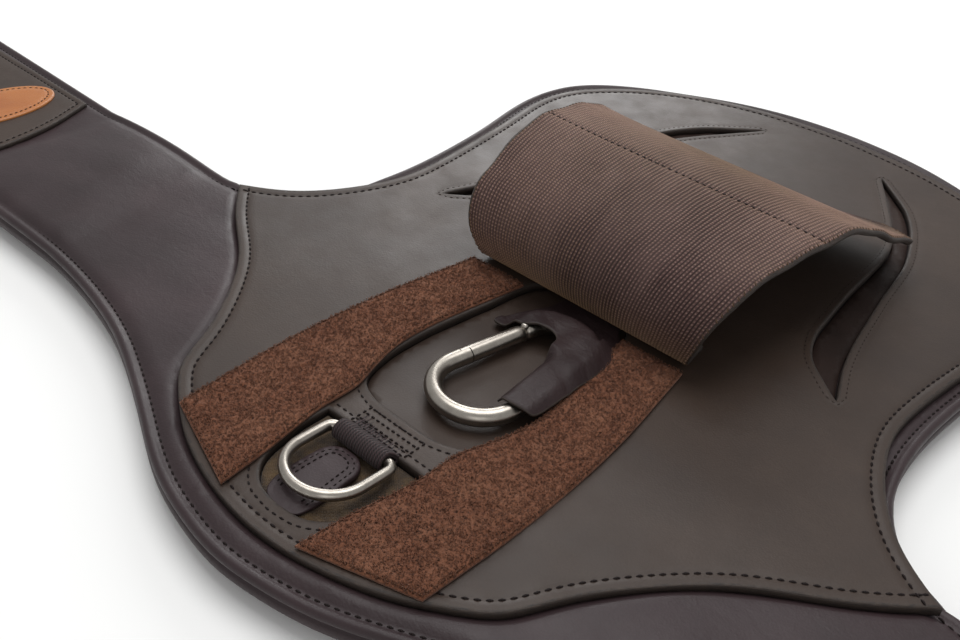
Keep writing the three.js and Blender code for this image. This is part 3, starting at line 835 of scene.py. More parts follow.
def skin_stitches():
    """The row in the border's valley, on the body and on each arm."""
    line = inset(skin_edge, 5.0)
    verts, _ = stitch_row(np.column_stack([line, np.full(len(line), -3.9)]), pitch=3.3,
                          length=2.5, width=0.45, sink=0.05, closed=True)
    body = np.abs(verts[:, 0].reshape(-1, 30).mean(1)) < CUT_X
    for name, keep, ride in (("border_stitches_body", body, "root"),
                             ("border_stitches_right", verts[::30, 0] >= CUT_X, "arm_right"),
                             ("border_stitches_left", verts[::30, 0] <= -CUT_X, "arm_left")):
        keep = keep if ride == "root" else keep & ~body
        which = np.flatnonzero(keep)
        points = verts.reshape(-1, 30, 3)[which].reshape(-1, 3)
        new_faces = [[i + b * 30 for i in f] for b in range(len(which)) for f in STITCH_FACES]
        row = make(name, points, new_faces, THREAD)
        if ride == "root":
            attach(row, "root")
        else:
            sign = 1 if ride == "arm_right" else -1
            at(sign * 200, 33, -17)
            at(sign * 230, 33, -17)
            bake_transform(row)


STITCH_FACES = stitch_row([[0, 0, 0], [4, 0, 0]], pitch=3.9)[1]


# ---- the plate ------------------------------------------------------------------------------
PLATE_RIM = [(1.1, 0.0), (0.55, -0.08), (0.2, -0.35), (0.0, -0.9), (0.0, -3.6)]
GROOVE_IN = 4.8


def plate_height(points):
    e = distance(points, [plate_edge])
    h = distance(points, plate_loops[1:])
    z = waves_of(points, [(150, 0.7, 0.25), (95, 2.1, 0.2), (61, 1.1, 0.1)]) - 0.35
    z -= 0.4 * np.exp(-((e - GROOVE_IN) / 0.9) ** 2)
    z += 0.12 * np.exp(-((e - 2.2) / 1.4) ** 2)
    z += 0.15 * np.exp(-((h - 1.8) / 1.5) ** 2) - 0.15 * np.exp(-((h - 3.6) / 1.0) ** 2)
    return z


def build_plate():
    bands = [inset(plate_edge, d) for d in (2.2, 3.2, 4.0, 4.8, 5.6, 6.6, 8.5)]
    bands += [inset(lp, d) for lp in plate_loops[1:] for d in (2.2, 3.4, 4.4, 5.4, 6.6)]
    verts, faces, kinds = sheet_geometry(plate_loops, PLATE_RIM, plate_height,
                                         extra=np.concatenate(bands), grid=7.0, keep_off=9.0)
    plate = make("plate_shell", verts, faces, [PLATE, EDGE], body="root",
                 indices=[0 if k == 0 else 1 for k in kinds], slot="plate_leather")
    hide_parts("belly_plate")


def on_plate(line):
    line = np.asarray(line, float)[:, :2]
    return np.column_stack([line, plate_height(line)])


def plate_stitches():
    rows = [stitch_row(on_plate(inset(plate_edge, GROOVE_IN)), pitch=3.6, length=2.7, width=0.5,
                       sink=0.0, closed=True)]
    quiet = []
    for lp in plate_loops[1:]:
        if abs(lp[:, 0].mean()) > 30:
            quiet.append(stitch_row(on_plate(inset(lp, 3.2)), pitch=2.9, length=2.0, width=0.3,
                                    sink=0.12, closed=True))
            continue
        row = inset(lp, 3.6)
        keep = ~((np.abs(row[:, 0]) < 30) & (row[:, 1] > 60))
        pick = row[keep] if keep.all() else np.roll(row, -int(np.argmin(keep)), 0)
        if not keep.all():
            keep = np.roll(keep, -int(np.argmin(keep)))
            pick = pick[keep]
        rows.append(stitch_row(on_plate(pick), pitch=3.2, length=2.3, width=0.42, sink=0.05))
    for x in (-13.0, 13.0):
        rows.append(stitch_row(on_plate(spline([[x, 6], [x, 17]], 1.0)), pitch=2.4, length=1.8,
                               width=0.45, sink=0.0))
    for y in (6.4, 9.6, 12.8, 16.0):
        rows.append(stitch_row(on_plate(spline([[-12.5, y], [12.5, y]], 1.0)), pitch=2.5,
                               length=1.8, width=0.45, sink=0.0))
    verts, faces = joined(rows)
    make("plate_stitches", verts, faces, THREAD, body="root")
    make("slit_stitches", *joined(quiet), TONE_THREAD, body="root")


def build_floors():
    """The canvas and leather seen through the plate's openings."""
    for node, material, slot, dip in (("d_recess_canvas", CANVAS, "canvas", 0.1),
                                      ("hook_recess_floor", PLATE, "plate_leather", 0.2),
                                      ("slit_gusset_right", GUSSET, "dark_leather", 0.5),
                                      ("slit_gusset_left", GUSSET, "dark_leather", 0.5)):
        loop = smooth_loop(cad_loops(node)[0], 2.5)

        def height(points, loop=loop, dip=dip):
            sag = np.minimum(distance(points, [loop]) / 12, 1)
            return -3.2 - dip * sag + waves_of(points, [(17, 1.0, dip * 0.3), (9, 0.3, dip * 0.15)])

        verts, faces, _ = sheet_geometry([loop], [(0.2, -3.2), (0.0, -3.5), (0.2, -4.2)], height,
                                         grid=3.0)
        piece = make(f"{node}_look", verts, faces, material, body="root", slot=slot)
        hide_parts(node)


# ---- loop strips ----------------------------------------------------------------------------
def build_strips():
    for side in ("right", "left"):
        node = f"loop_strip_{side}"
        loop = smooth_loop(cad_loops(node)[0], 1.2)
        rough = RANDOM.normal(0, 1, 4096)

        def height(points, loop=loop, rough=rough):
            e = distance(points, [loop])
            cell = (np.floor(points[:, 0] / 0.9) * 71 + np.floor(points[:, 1] / 0.9) * 131)
            bump = rough[cell.astype(int) % 4096]
            return 1.55 + 0.22 * bump * np.minimum(e / 1.5, 1) - 0.5 * np.exp(-(e / 1.2) ** 2)

        verts, faces, _ = sheet_geometry([loop], [(0.5, 1.6), (0.1, 1.3), (0.0, 0.9), (0.0, 0.0)],
                                         height, grid=0.85, keep_off=0.9)
        strip = make(f"{node}_look", verts, faces, PILE, body="root", slot="loop_pile")
        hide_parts(node)
        box_low, box_high = loop.min(0), loop.max(0)
        seeds = RANDOM.uniform(box_low, box_high, (16000, 2))
        seeds = seeds[inside(seeds, [loop])]
        make(f"{node}_tufts", *tufts(np.column_stack([seeds, np.full(len(seeds), 1.4)])), PILE,
             body="root", slot="loop_pile")
        edge = inset(loop, 0.9)
        make(f"{node}_stitches", *stitch_row(np.column_stack([edge, np.full(len(edge), 1.75)]),
                                             pitch=2.8, length=2.1, width=0.3, sink=0.1,
                                             closed=True), PILE_THREAD, body="root")


def tufts(roots):
    """Tiny crooked loops of yarn standing on a strip, three-sided."""
    count = len(roots)
    turn = RANDOM.uniform(0, 2 * math.pi, count)
    reach = RANDOM.uniform(0.5, 1.1, count)
    tall = RANDOM.uniform(0.35, 0.95, count)
    along = np.stack([np.cos(turn), np.sin(turn), np.zeros(count)], 1)
    side = np.stack([-np.sin(turn), np.cos(turn), np.zeros(count)], 1)
    up = np.array([0, 0, 1.0])
    verts = []
    for t, lift in ((-0.5, -0.3), (-0.25, 0.75), (0.1, 1.0), (0.5, -0.2)):
        mid = roots + along * (reach * t)[:, None] + up * (tall * lift)[:, None]
        for angle in (0.4, 2.5, 4.6):
            verts.append(mid + 0.11 * (math.cos(angle) * side + math.sin(angle) * up))
    verts = np.stack(verts, 1).reshape(-1, 3)
    faces = []
    for i in range(3):
        for k in range(3):
            m = (k + 1) % 3
            faces.append([i * 3 + k, i * 3 + m, i * 3 + 3 + m, i * 3 + 3 + k])
    base = np.arange(count)[:, None, None] * 12
    return verts, (np.array(faces)[None] + base).reshape(-1, 4).tolist()


# ---- D ring, its webbing and its tab ----------------------------------------------------------
D_WIRE, D_HALF, D_LEG, D_Z = 4.0, 15.0, 14.0, 1.2


def arc_points(cx, cy, r, start, end, steps):
    a = np.radians(np.linspace(start, end, steps))
    return np.column_stack([cx + r * np.cos(a), cy + r * np.sin(a)])


def build_d_ring():
    flat = np.concatenate([
        arc_points(-D_HALF + 3, -3, 3, 180, 90, 5), arc_points(D_HALF - 3, -3, 3, 90, 0, 5),
        arc_points(0, -D_LEG, D_HALF, 0, -180, 25)])
    path = spline(flat, 0.9, closed=True)
    path = np.column_stack([path, D_Z - path[:, 1] * math.tan(math.radians(3.5))])
    ring = make("d_ring_wire", *tube(path, D_WIRE / 2, 20, closed=True), STEEL, body="d_ring",
                slot="steel")
    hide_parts("d_ring")


def strip_along(path, half, thick, columns=14, ripple=0.0):
    """A strap swept along a (y, z) path, width across x, its edges rounded."""
    path = np.asarray(path, float)
    ahead = np.gradient(path, axis=0)
    ahead /= np.linalg.norm(ahead, axis=1)[:, None]
    normal = np.column_stack([-ahead[:, 1], ahead[:, 0]])
    x = np.linspace(-half, half, columns)
    upper = [(v, thick / 2 + ripple * (i % 2)) for i, v in enumerate(x)]
    section = upper + [(half + thick * 0.25, 0)] + [(v, -t) for v, t in upper[::-1]]
    section += [(-half - thick * 0.25, 0)]
    n = len(section)
    verts = np.array([[sx, p[0] + q[0] * st, p[1] + q[1] * st]
                      for p, q in zip(path, normal) for sx, st in section])
    faces = [[i * n + k, i * n + (k + 1) % n, (i + 1) * n + (k + 1) % n, (i + 1) * n + k]
             for i in range(len(path) - 1) for k in range(n)]
    faces += [list(range(n))[::-1], [(len(path) - 1) * n + k for k in range(n)]]
    return verts, faces


def build_webbing():
    r = D_WIRE / 2 + 1.0
    round_bar = [(r * math.cos(math.radians(a)), D_Z + r * math.sin(math.radians(a)))
                 for a in range(60, 271, 15)]
    points = [(13, -1.2), (8, -1.0), (5.2, -0.3), (3.2, 2.3), *round_bar[1:], (4, -1.9), (8, -2.3)]
    path = spline(points, 0.7)
    verts, faces = strip_along(path, 11.4, 1.5, columns=27, ripple=0.12)
    webbing = make("d_ring_webbing_look", verts, faces, WEBBING, body="root", slot="webbing")
    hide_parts("d_ring_webbing")


def build_tab():
    low, high = node_box("d_ring_tab")
    back, front, c = high[1] + 1.2, low[1] - 3.8, 8.0
    loop = np.concatenate([arc_points(high[0] - c, back - c, c, 0, 90, 8),
                           arc_points(low[0] + c, back - c, c, 90, 180, 8),
                           [[low[0] - 0.5, front + 6], [low[0] + 3, front], [high[0] - 2, front],
                            [high[0], front + 5]]])
    loop = smooth_loop(loop, 1.0, corner=70)

    def height(points):
        e = distance(points, [loop])
        lift = 1.5 * np.clip((points[:, 1] - front) / 20, 0, 1)
        return -1.7 + lift - 0.35 * np.exp(-((e - 2.0) / 0.6) ** 2) + 0.2 * np.minimum(e / 4, 1)

    verts, faces, _ = sheet_geometry([loop], [(0.5, -1.0), (0.1, -1.3), (0.0, -2.0), (0.2, -2.8)],
                                     height, grid=1.4)
    tab = make("d_ring_tab_look", verts, faces, SOFT, body="root", slot="soft_leather")
    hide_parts("d_ring_tab")
    rows = []
    for d in (2.0, 4.0):
        line = inset(loop, d)
        line = line[(distance(line, [loop]) > d * 0.9) & (line[:, 1] > front + 4)]
        line = np.roll(line, -int(np.argmax(np.linalg.norm(
            np.roll(line, -1, 0) - line, axis=1))) - 1, 0)
        rows.append(stitch_row(np.column_stack([line, height(line)]), pitch=2.3, length=1.7,
                               width=0.34, sink=0.0))
    make("d_ring_tab_stitches", *joined(rows), THREAD, body="root")


# ---- snap hook --------------------------------------------------------------------------------
HOOK_WIRE, HOOK_LENGTH, NOSE_R, TAIL_R = 6.8, 39.0, 17.0, 11.6
HOOK_AT = np.array([6.5, 51.0, 1.5])
HOOK_TILT = math.radians(-3)
HOOK_LEAN = math.asin((NOSE_R - TAIL_R) / HOOK_LENGTH)
PIN_S = 34.0
HOOK_SHARP = math.radians(48)  # edges bent more than this stay sharp on the hook and its gate
STEP = (1.5, -2.1)  # the stepped line where the gate meets the nose
NOSE_END, GATE_START, GATE_BASE = 5.5, 6.0, 9.0


def hook_place(points):
    """Points in the hook's own flat frame to design millimetres."""
    p = np.asarray(points, float)
    c, s = math.cos(HOOK_TILT), math.sin(HOOK_TILT)
    turned = np.column_stack([p[:, 0] * c - p[:, 1] * s, p[:, 0] * s + p[:, 1] * c])
    z = p[:, 2] if p.shape[1] > 2 else np.zeros(len(p))
    return np.column_stack([turned, z]) + HOOK_AT


def gate_line(s):
    """A point s millimetres along the hook's gate side, from the nose."""
    start = np.array([-NOSE_R * math.cos(HOOK_LEAN), NOSE_R * math.sin(HOOK_LEAN)])
    return start + s * np.array([math.sin(HOOK_LEAN), math.cos(HOOK_LEAN)])


def stepped_end(verts, faces, sides, ring, out, along, reach):
    """Cuts a tube off at a ring and ends it in a square step: the half towards out reaches one
    distance along from that ring, the other half another."""
    base = ring * sides
    faces = [list(f) for f in faces if min(f) >= base]
    circle = verts[base:base + sides]
    across = (circle - circle.mean(0)) @ out
    on_line = np.abs(across) < 0.02 * np.abs(across).max()
    tops = (len(verts), len(verts) + sides)
    verts = np.concatenate([verts, circle + along * reach[0], circle + along * reach[1]])
    longer = int(abs(reach[1]) > abs(reach[0]))
    for i in range(sides):
        m = (i + 1) % sides
        half = int(across[i] + across[m] < 0)
        face = [base + i, base + m]
        if on_line[m] and half == longer:
            face.append(tops[1 - longer] + m)
        face += [tops[half] + m, tops[half] + i]
        if on_line[i] and half == longer:
            face.append(tops[1 - longer] + i)
        faces.append(face)
    for half, sign in ((0, 1), (1, -1)):
        start = next(i for i in range(sides) if on_line[i] and across[(i + 1) % sides] * sign > 0)
        faces.append([tops[half] + (start + k) % sides for k in range(sides // 2 + 1)])
    one, two = np.flatnonzero(on_line)
    faces.append([tops[0] + one, tops[1] + one, tops[1] + two, tops[0] + two])
    used = sorted({i for f in faces for i in f})
    where = {old: new for new, old in enumerate(used)}
    return verts[used], [[where[i] for i in f] for f in faces]


def build_hook():
    lean = math.degrees(HOOK_LEAN)
    nose = arc_points(0, 0, NOSE_R, 180 - lean, 360 + lean, 40)
    tail = arc_points(0, HOOK_LENGTH, TAIL_R, lean, 180 - lean, 26)
    start = np.array([gate_line(s) for s in (NOSE_END, 4.2, 2.8, 1.4)])
    end = np.array([gate_line(s) for s in (38.0, 36.5, 34.5)])
    sides = 24
    path = hook_place(np.concatenate([start, nose, spline([nose[-1], tail[0]], 2.0)[1:-1], tail,
                                      end]))
    verts, faces = tube(path, HOOK_WIRE / 2, sides)
    way = hook_place([gate_line(1), gate_line(0)])
    along = (way[0] - way[1]) / np.linalg.norm(way[0] - way[1])
    out = np.cross(along, [0, 0, 1])
    verts, faces = stepped_end(verts, faces, sides, 4, out, along,
                               [NOSE_END + step - 2.8 for step in STEP])
    knuckle = tube(hook_place([[*gate_line(PIN_S), z] for z in (-3.6, -3.0, 0, 3.0, 3.6)]),
                   [1.5, 1.75, 1.75, 1.75, 1.5], 16, up=(0, 1, 0))
    body = make("snap_hook_body", *joined([(verts, faces), knuckle]), STEEL, body="hook",
                slot="steel")
    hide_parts("snap_hook", "hook_gate_pin")
    gate_stops = [GATE_START, 8.0, GATE_BASE, *np.linspace(12, 32.6, 13)]
    gate_path = hook_place([gate_line(s) for s in gate_stops])
    radii = np.full(16, HOOK_WIRE / 2 - 0.1)
    radii[-1] = 2.9
    gate_verts, gate_faces = tube(gate_path, radii, sides)
    gate_verts, gate_faces = stepped_end(gate_verts, gate_faces, sides, 4, out, along,
                                         [GATE_START + step - GATE_BASE for step in STEP])
    gate = make("hook_gate_bar", gate_verts, gate_faces, STEEL, body="gate", slot="steel")
    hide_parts("hook_gate")


# ---- keeper -----------------------------------------------------------------------------------
KEEPER_OUTLINE = [[-18.5, 86.6], [-14, 85.8], [-8, 86.4], [-3, 87.4], [2, 90.3], [6.5, 91.6],
                  [10.5, 89], [12.4, 82], [14, 71], [15.2, 60], [16.2, 49.5], [17.5, 48.2],
                  [24, 47.8], [31.5, 49.5], [32.4, 52], [32.6, 62], [32.2, 75], [31.8, 90],
                  [30.5, 103], [26, 111], [20, 118], [17, 125], [-8, 125], [-9, 115], [-11, 106],
                  [-15, 97], [-18.6, 91]]


def hook_centre_distance(points):
    lean = math.degrees(HOOK_LEAN)
    ring = np.concatenate([arc_points(0, 0, NOSE_R, 180 - lean, 360 + lean, 30),
                           arc_points(0, HOOK_LENGTH, TAIL_R, lean, 180 - lean, 20)])
    loop = hook_place(ring)[:, :2]
    line = distance(points, [loop])
    tent = np.clip((points[:, 1] - 80) / 7, 0, 1)
    line = np.where(inside(points, [loop]), line * (1 - tent), line)
    return np.where(points[:, 0] > 22, line * 0.62, line)


def build_keeper():
    loop = spline(np.array(KEEPER_OUTLINE, float), 1.2, closed=True)
    if area(loop) < 0:
        loop = loop[::-1]

    def height(points):
        d = hook_centre_distance(points)
        behind = np.clip((points[:, 1] - 103) / 9, 0, 1)
        over = 0.2 + 6.1 * np.exp(-(np.maximum(d - 3.2, 0) / 3.6) ** 2)
        fold = 0.55 * np.sin((points[:, 0] * 0.9 + points[:, 1] * 0.55) * 0.3) \
            * np.exp(-((points[:, 1] - 96) / 10) ** 2)
        fold += 0.22 * np.sin(points[:, 0] * 0.45 - points[:, 1] * 0.2)
        crease = points[:, 0] * 0.42 + points[:, 1] * 0.91
        fold -= (0.5 * np.exp(-((crease - 77) / 1.3) ** 2)
                 + 0.4 * np.exp(-((crease - 88) / 1.1) ** 2))
        fold += 0.35 * np.exp(-((crease - 82) / 2.2) ** 2)
        return (over + fold) * (1 - behind) + (-0.9) * behind

    rim = [(0.3, 0.0), (0.0, -0.3), (0.0, -0.8), (0.25, -1.0)]
    verts, faces, kinds = sheet_geometry([loop], rim, height, grid=1.7, bands=(1.2, 2.2),
                                         even=1.2)
    keeper = make("hook_keeper_look", verts, faces, [DARK, EDGE],
                  indices=[1 if k == 1 else 0 for k in kinds])
    at(0, 110.5, 0)
    at(0, 104.5, 0)
    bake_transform(keeper)
    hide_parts("hook_keeper", "keeper_anchor")


# ---- flap -------------------------------------------------------------------------------------
FLAP_ROOT_LINE = [(131.0, 3.1), (125.5, 3.2), (121.0, 3.7)]
FLAP_HALF_ROOT, FLAP_HALF = 50.0, [52.0, 57.0, 61.0, 66.0, 70.5, 75.0, 78.0]
FLAP_TIP = (252.04, 4.56)
LEATHER_T, TAPE_T = 1.9, 1.1
SIDE_SHIFT = 4.0  # how far the rolled flap lies to the right


def flap_profile():
    """The leather face's line (y, z), the fold's positions along it, and its tip."""
    folds = [joint_at("flap_fold" if i == 1 else f"flap_roll_{i}")[1:] for i in range(1, 7)]
    knots = FLAP_ROOT_LINE + [tuple(f) for f in folds] + [FLAP_TIP]
    knots[3] = (knots[3][0] - 0.2, knots[3][1] + 1.2)
    line = spline(np.array(knots), 0.5)
    far = np.concatenate([[0], np.cumsum(np.linalg.norm(np.diff(line, axis=0), axis=1))])
    where = [far[np.argmin(np.linalg.norm(line - f, axis=1))] for f in folds]
    return line, far, where


def build_flap():
    line, far, folds = flap_profile()
    end = far[-1]
    heading = np.gradient(line, axis=0)
    heading /= np.linalg.norm(heading, axis=1)[:, None]
    outward = np.column_stack([-heading[:, 1], heading[:, 0]])
    stations = [0.0, folds[0] * 0.5, *folds, end]
    halves = [FLAP_HALF_ROOT, 50.5, *FLAP_HALF]

    def at_s(values, s):
        return np.stack([np.interp(s, far, values[:, k]) for k in range(values.shape[1])], 1)

    def half_width(s):
        base = np.interp(s, stations, halves)
        corner = 20.0
        near = np.clip((s - (end - corner)) / corner, 0, 1)
        return base - corner * (1 - np.sqrt(np.maximum(1 - near**2, 0)))

    def surface(u, s, lift):
        """u runs -1 to 1 across, s along; lift is the height off the leather face."""
        y_z = at_s(line, s)
        out = at_s(outward, s)
        out /= np.linalg.norm(out, axis=1)[:, None]
        x = u * half_width(s) + SIDE_SHIFT * np.clip((s - folds[0]) / 40, 0, 1)
        wave = (0.8 * np.sin(s * 0.11 + 1.2 * np.sign(u)) + 0.5 * np.sin(s * 0.23 + u)) * u**6
        wave *= np.clip(s / 25 - 0.6, 0, 1)
        sag = lift + wave
        tip = np.clip((s - folds[5]) / (end - folds[5]), 0, 1) ** 2
        corner = tip * np.clip((1 + u) / 2, 0, 1) ** 2
        swell = np.sin(np.clip((s - folds[1]) / (end - folds[1]), 0, 1) * math.pi)
        rise = 2.0 * swell * np.clip((1 - u) / 2, 0, 1) ** 1.5
        return np.column_stack([x, y_z[:, 0] + out[:, 0] * sag + 9 * corner,
                                y_z[:, 1] + out[:, 1] * sag + 2.5 * corner + rise])

    total = LEATHER_T + TAPE_T
    middles = [(a + b) / 2 for a, b in zip(folds, folds[1:])]
    cuts = [0.0, *middles, end]
    seam_s = middles[3] + 2.5
    rib_u = np.linspace(-1, 1, 2 * int(78 * 2 / RIB) + 1)
    edge = [(1.0, 0.55 * total), (1.0, 0.85 * total)]
    section = [(u, 0.0, 0) for u in np.linspace(-0.975, 0.975, 40)]
    section += [(0.992, 0.12 * total, 1), *[(u, t, 1) for u, t in edge]]
    section += [(u * 0.985, total + (0.22 if k % 2 else -0.12), 3)
                for k, u in enumerate(rib_u)][::-1]
    section += [*[(-u, t, 1) for u, t in edge[::-1]], (-0.992, 0.12 * total, 1)]
    across, lifts, parts_of = (np.array(q) for q in zip(*section))
    n = len(section)

    def rows_at(stations):
        out = []
        for s in stations:
            lift = lifts - 0.55 * math.exp(-((s - seam_s) / 1.1) ** 2) * (lifts > total * 0.95)
            out.append(surface(across, np.full(n, s), lift))
        return np.concatenate(out)

    def skirt(count, ends):
        """Faces over count rows, and each one's kind: 0 leather, 1 tape, 2 cut edge."""
        faces, kinds = [], []
        for r in range(count - 1):
            for k in range(n):
                m = (k + 1) % n
                faces.append([r * n + k, (r + 1) * n + k, (r + 1) * n + m, r * n + m])
                pair = {parts_of[k], parts_of[m]}
                kinds.append(1 if pair == {3} else 0 if pair == {0} else 2)
        for row in ends:
            ring = [row * n + k for k in range(n)]
            faces.append(ring if row == 0 else ring[::-1])
            kinds.append(2)
        return faces, kinds

    spans = [np.linspace(a, b, max(6, int((b - a) / 1.6)) + 1) for a, b in zip(cuts, cuts[1:])]
    whole = np.concatenate([spans[0], *[sp[1:] for sp in spans[1:]]])
    whole_faces, _ = skirt(len(whole), [])
    shell = bpy.data.meshes.new("flap_shell")
    shell.from_pydata(rows_at(whole).tolist(), [], whole_faces)
    shell_normals = np.array([v.vector for v in shell.vertex_normals])
    first = 0
    for i, rows in enumerate(spans):
        low, high = cuts[i], cuts[i + 1]
        verts = rows_at(rows)
        faces, kinds = skirt(len(rows), ([0] if i == 0 else []) + ([len(rows) - 1] if i == 5
                                                                   else []))
        normals = shell_normals[first * n:(first + len(rows)) * n]
        first += len(rows) - 1
        side_rows = []
        span = np.arange(low + 0.7, high - 0.6, 0.8)
        if len(span) > 4:
            for side in (-1, 1):
                mid = surface(np.full(len(span), side * 0.978), span, np.full(len(span), total))
                near = surface(np.full(len(span), side * 0.978), span,
                               np.full(len(span), total + 1)) - mid
                side_rows.append(stitch_row(mid, pitch=2.6, length=2.2, width=0.34,
                                            normals=near, sink=0.0, lean=0.9))
        stitch_verts, stitch_faces = joined(side_rows)
        faces_count = len(faces)
        all_verts, all_faces = joined([(verts, faces), (stitch_verts, stitch_faces)])
        kinds = kinds + [3] * (len(all_faces) - faces_count)
        piece = make(f"flap_{i + 1}_look", all_verts, all_faces,
                     [SHADED_FLAP_LEATHER, TAPE, EDGE, LIGHT_THREAD], indices=kinds)
        own = np.concatenate([normals, np.zeros((len(stitch_verts), 3))])
        across_mm = np.tile(across * 78 / 1000, len(rows))
        along_mm = np.repeat(rows / 1000, n)
        flat_map = np.column_stack([across_mm, along_mm])
        flat_map = np.concatenate([flat_map, np.zeros((len(stitch_verts), 2))])
        corners = np.zeros(len(piece.data.loops), np.int32)
        piece.data.loops.foreach_get("vertex_index", corners)
        layer = piece.data.uv_layers.new(name="tape")
        layer.data.foreach_set("uv", flat_map[corners].ravel().astype(np.float32))
        piece.data.normals_split_custom_set_from_vertices(own.tolist())
        mid_low = at_s(line, np.array([low if i else folds[0] - 5]))[0]
        mid_high = at_s(line, np.array([high if i < 5 else folds[5] + 14]))[0]
        at(0, *mid_low)
        at(0, *mid_high)
        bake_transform(piece)
        stands_for = [f"flap_segment_{i + 1}"] + (["flap_root"] if i == 0 else [])
        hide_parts(*stands_for)
    u_line = np.linspace(-0.97, 0.97, 200)
    s_line = np.full(200, seam_s)
    seam = surface(u_line, s_line, np.full(200, total - 0.35))
    up = surface(u_line, s_line, np.full(200, total + 1)) - seam
    make("flap_seam_stitches", *stitch_row(seam, pitch=3.2, length=2.4, width=0.4, normals=up,
                                           sink=0.0), THREAD, body="flap_4")


# ---- arms: overlays and badge -----------------------------------------------------------------
def build_overlays():
    for side in ("right", "left"):
        loop = smooth_loop(OVERLAY[side], 2.0)

        def height(points, loop=loop):
            e = distance(points, [loop])
            z = -0.55 + waves_of(points, [(83, 0.6, 0.15), (47, 1.6, 0.1)])
            return z - 0.4 * np.exp(-((e - 3.6) / 0.7) ** 2)

        verts, faces, kinds = sheet_geometry(
            [loop], [(0.8, -0.6), (0.3, -0.8), (0.0, -1.2), (0.0, -3.3)], height, grid=5.0,
            bands=(2.2, 3.0, 3.6, 4.2, 5.2))
        overlay = make(f"arm_overlay_{side}_look", verts, faces, [PLATE, EDGE],
                       body=f"arm_{side}", indices=[0 if k == 0 else 1 for k in kinds],
                       slot="plate_leather")
        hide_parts(f"arm_overlay_{side}")
        line = inset(loop, 3.6)
        row = stitch_row(np.column_stack([line, height(line)]), pitch=3.4, length=2.5,
                         width=0.45, sink=0.0, closed=True)
        make(f"arm_overlay_{side}_stitches", *row, THREAD, body=f"arm_{side}")


def build_badge():
    low, high = node_box("arm_badge")
    centre, half = (low + high) / 2, (high - low) / 2
    loop = arc_points(centre[0], centre[1], 1, 0, 357, 120)
    loop = (loop - centre[:2]) * half[:2] + centre[:2]

    def height(points):
        e = distance(points, [loop])
        return 0.55 + 0.45 * np.minimum(e / 5, 1) - 0.35 * np.exp(-((e - 3) / 0.6) ** 2)

    verts, faces, _ = sheet_geometry([loop], [(0.6, 0.55), (0.1, 0.2), (0.0, -0.9)], height,
                                     grid=3.0, bands=(2.2, 3.0, 3.8))
    badge = make("arm_badge_look", verts, faces, BADGE, body="arm_left", slot="badge")
    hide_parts("arm_badge")
    line = inset(loop, 3.0)
    make("arm_badge_stitches", *stitch_row(np.column_stack([line, height(line)]), pitch=2.8,
                                           length=2.0, width=0.36, sink=0.0, closed=True),
         THREAD, body="arm_left")


# ---- elastic ends and buckles -----------------------------------------------------------------
def rounded_box(low, high, c):
    """A rectangle with corners of radius c, counter-clockwise."""
    return np.concatenate([arc_points(high[0] - c, low[1] + c, c, -90, 0, 5),
                           arc_points(high[0] - c, high[1] - c, c, 0, 90, 5),
                           arc_points(low[0] + c, high[1] - c, c, 90, 180, 5),
                           arc_points(low[0] + c, low[1] + c, c, 180, 270, 5)])


def soft_box(low, high, round_by):
    """A stitched leather block with rounded edges and a slightly crowned top and bottom."""
    mid_z = (low[2] + high[2]) / 2
    tall = (high[2] - low[2]) / 2
    loop = smooth_loop(rounded_box(low, high, round_by), 2.0, corner=80)

    def crown(points):
        e = distance(points, [loop])
        rise = np.minimum(e / 8, 1)
        return mid_z + tall - 0.6 + 0.6 * np.sin(rise * math.pi / 2) \
            - 0.45 * np.exp(-((e - 3.4) / 0.8) ** 2)

    rim = [(1.6, mid_z + tall - 0.6)]
    for a in range(20, 161, 20):
        rim.append((1.5 - 1.5 * math.sin(math.radians(a)),
                    mid_z + (tall - 0.6) * math.cos(math.radians(a))))
    rim.append((1.6, mid_z - tall + 0.6))
    return loop, crown, sheet_geometry([loop], rim, crown, grid=3.0, bands=(2.6, 3.4, 4.2, 6.0))


def ribbed_strap(low, high, pitch=2.2):
    """Wide elastic: ribs across it, rolled edges."""
    mid = (low[2] + high[2]) / 2
    x = np.arange(low[0], high[0] + 0.01, pitch / 4)
    swell = 1.5 + 0.3 * np.cos((x - low[0]) * 2 * math.pi / pitch)
    y = np.concatenate([[0, 0.6, 1.6], np.linspace(3, 73, 25), [74.4, 75.4, 76]])
    y = low[1] + y / 76 * (high[1] - low[1])
    crown = np.array([0, 0.75, 1.1] + [1.0] * 25 + [1.1, 0.75, 0])
    top = np.array([[a, b, mid + s * c] for a, s in zip(x, swell) for b, c in zip(y, crown)])
    low_face = top * np.array([1, 1, -1]) + np.array([0, 0, 2 * mid])
    n, rows = len(y), len(x)
    faces, base = [], len(top)
    for i in range(rows - 1):
        for k in range(n - 1):
            a, b = i * n + k, (i + 1) * n + k
            faces.append([a, b, b + 1, a + 1])
            faces.append([base + a, base + a + 1, base + b + 1, base + b])
    for i in (0, rows - 1):
        ring = [i * n + k for k in range(n)] + [base + i * n + k for k in range(n - 2, 0, -1)]
        faces.append(ring if i == 0 else ring[::-1])
    return np.concatenate([top, low_face]), faces


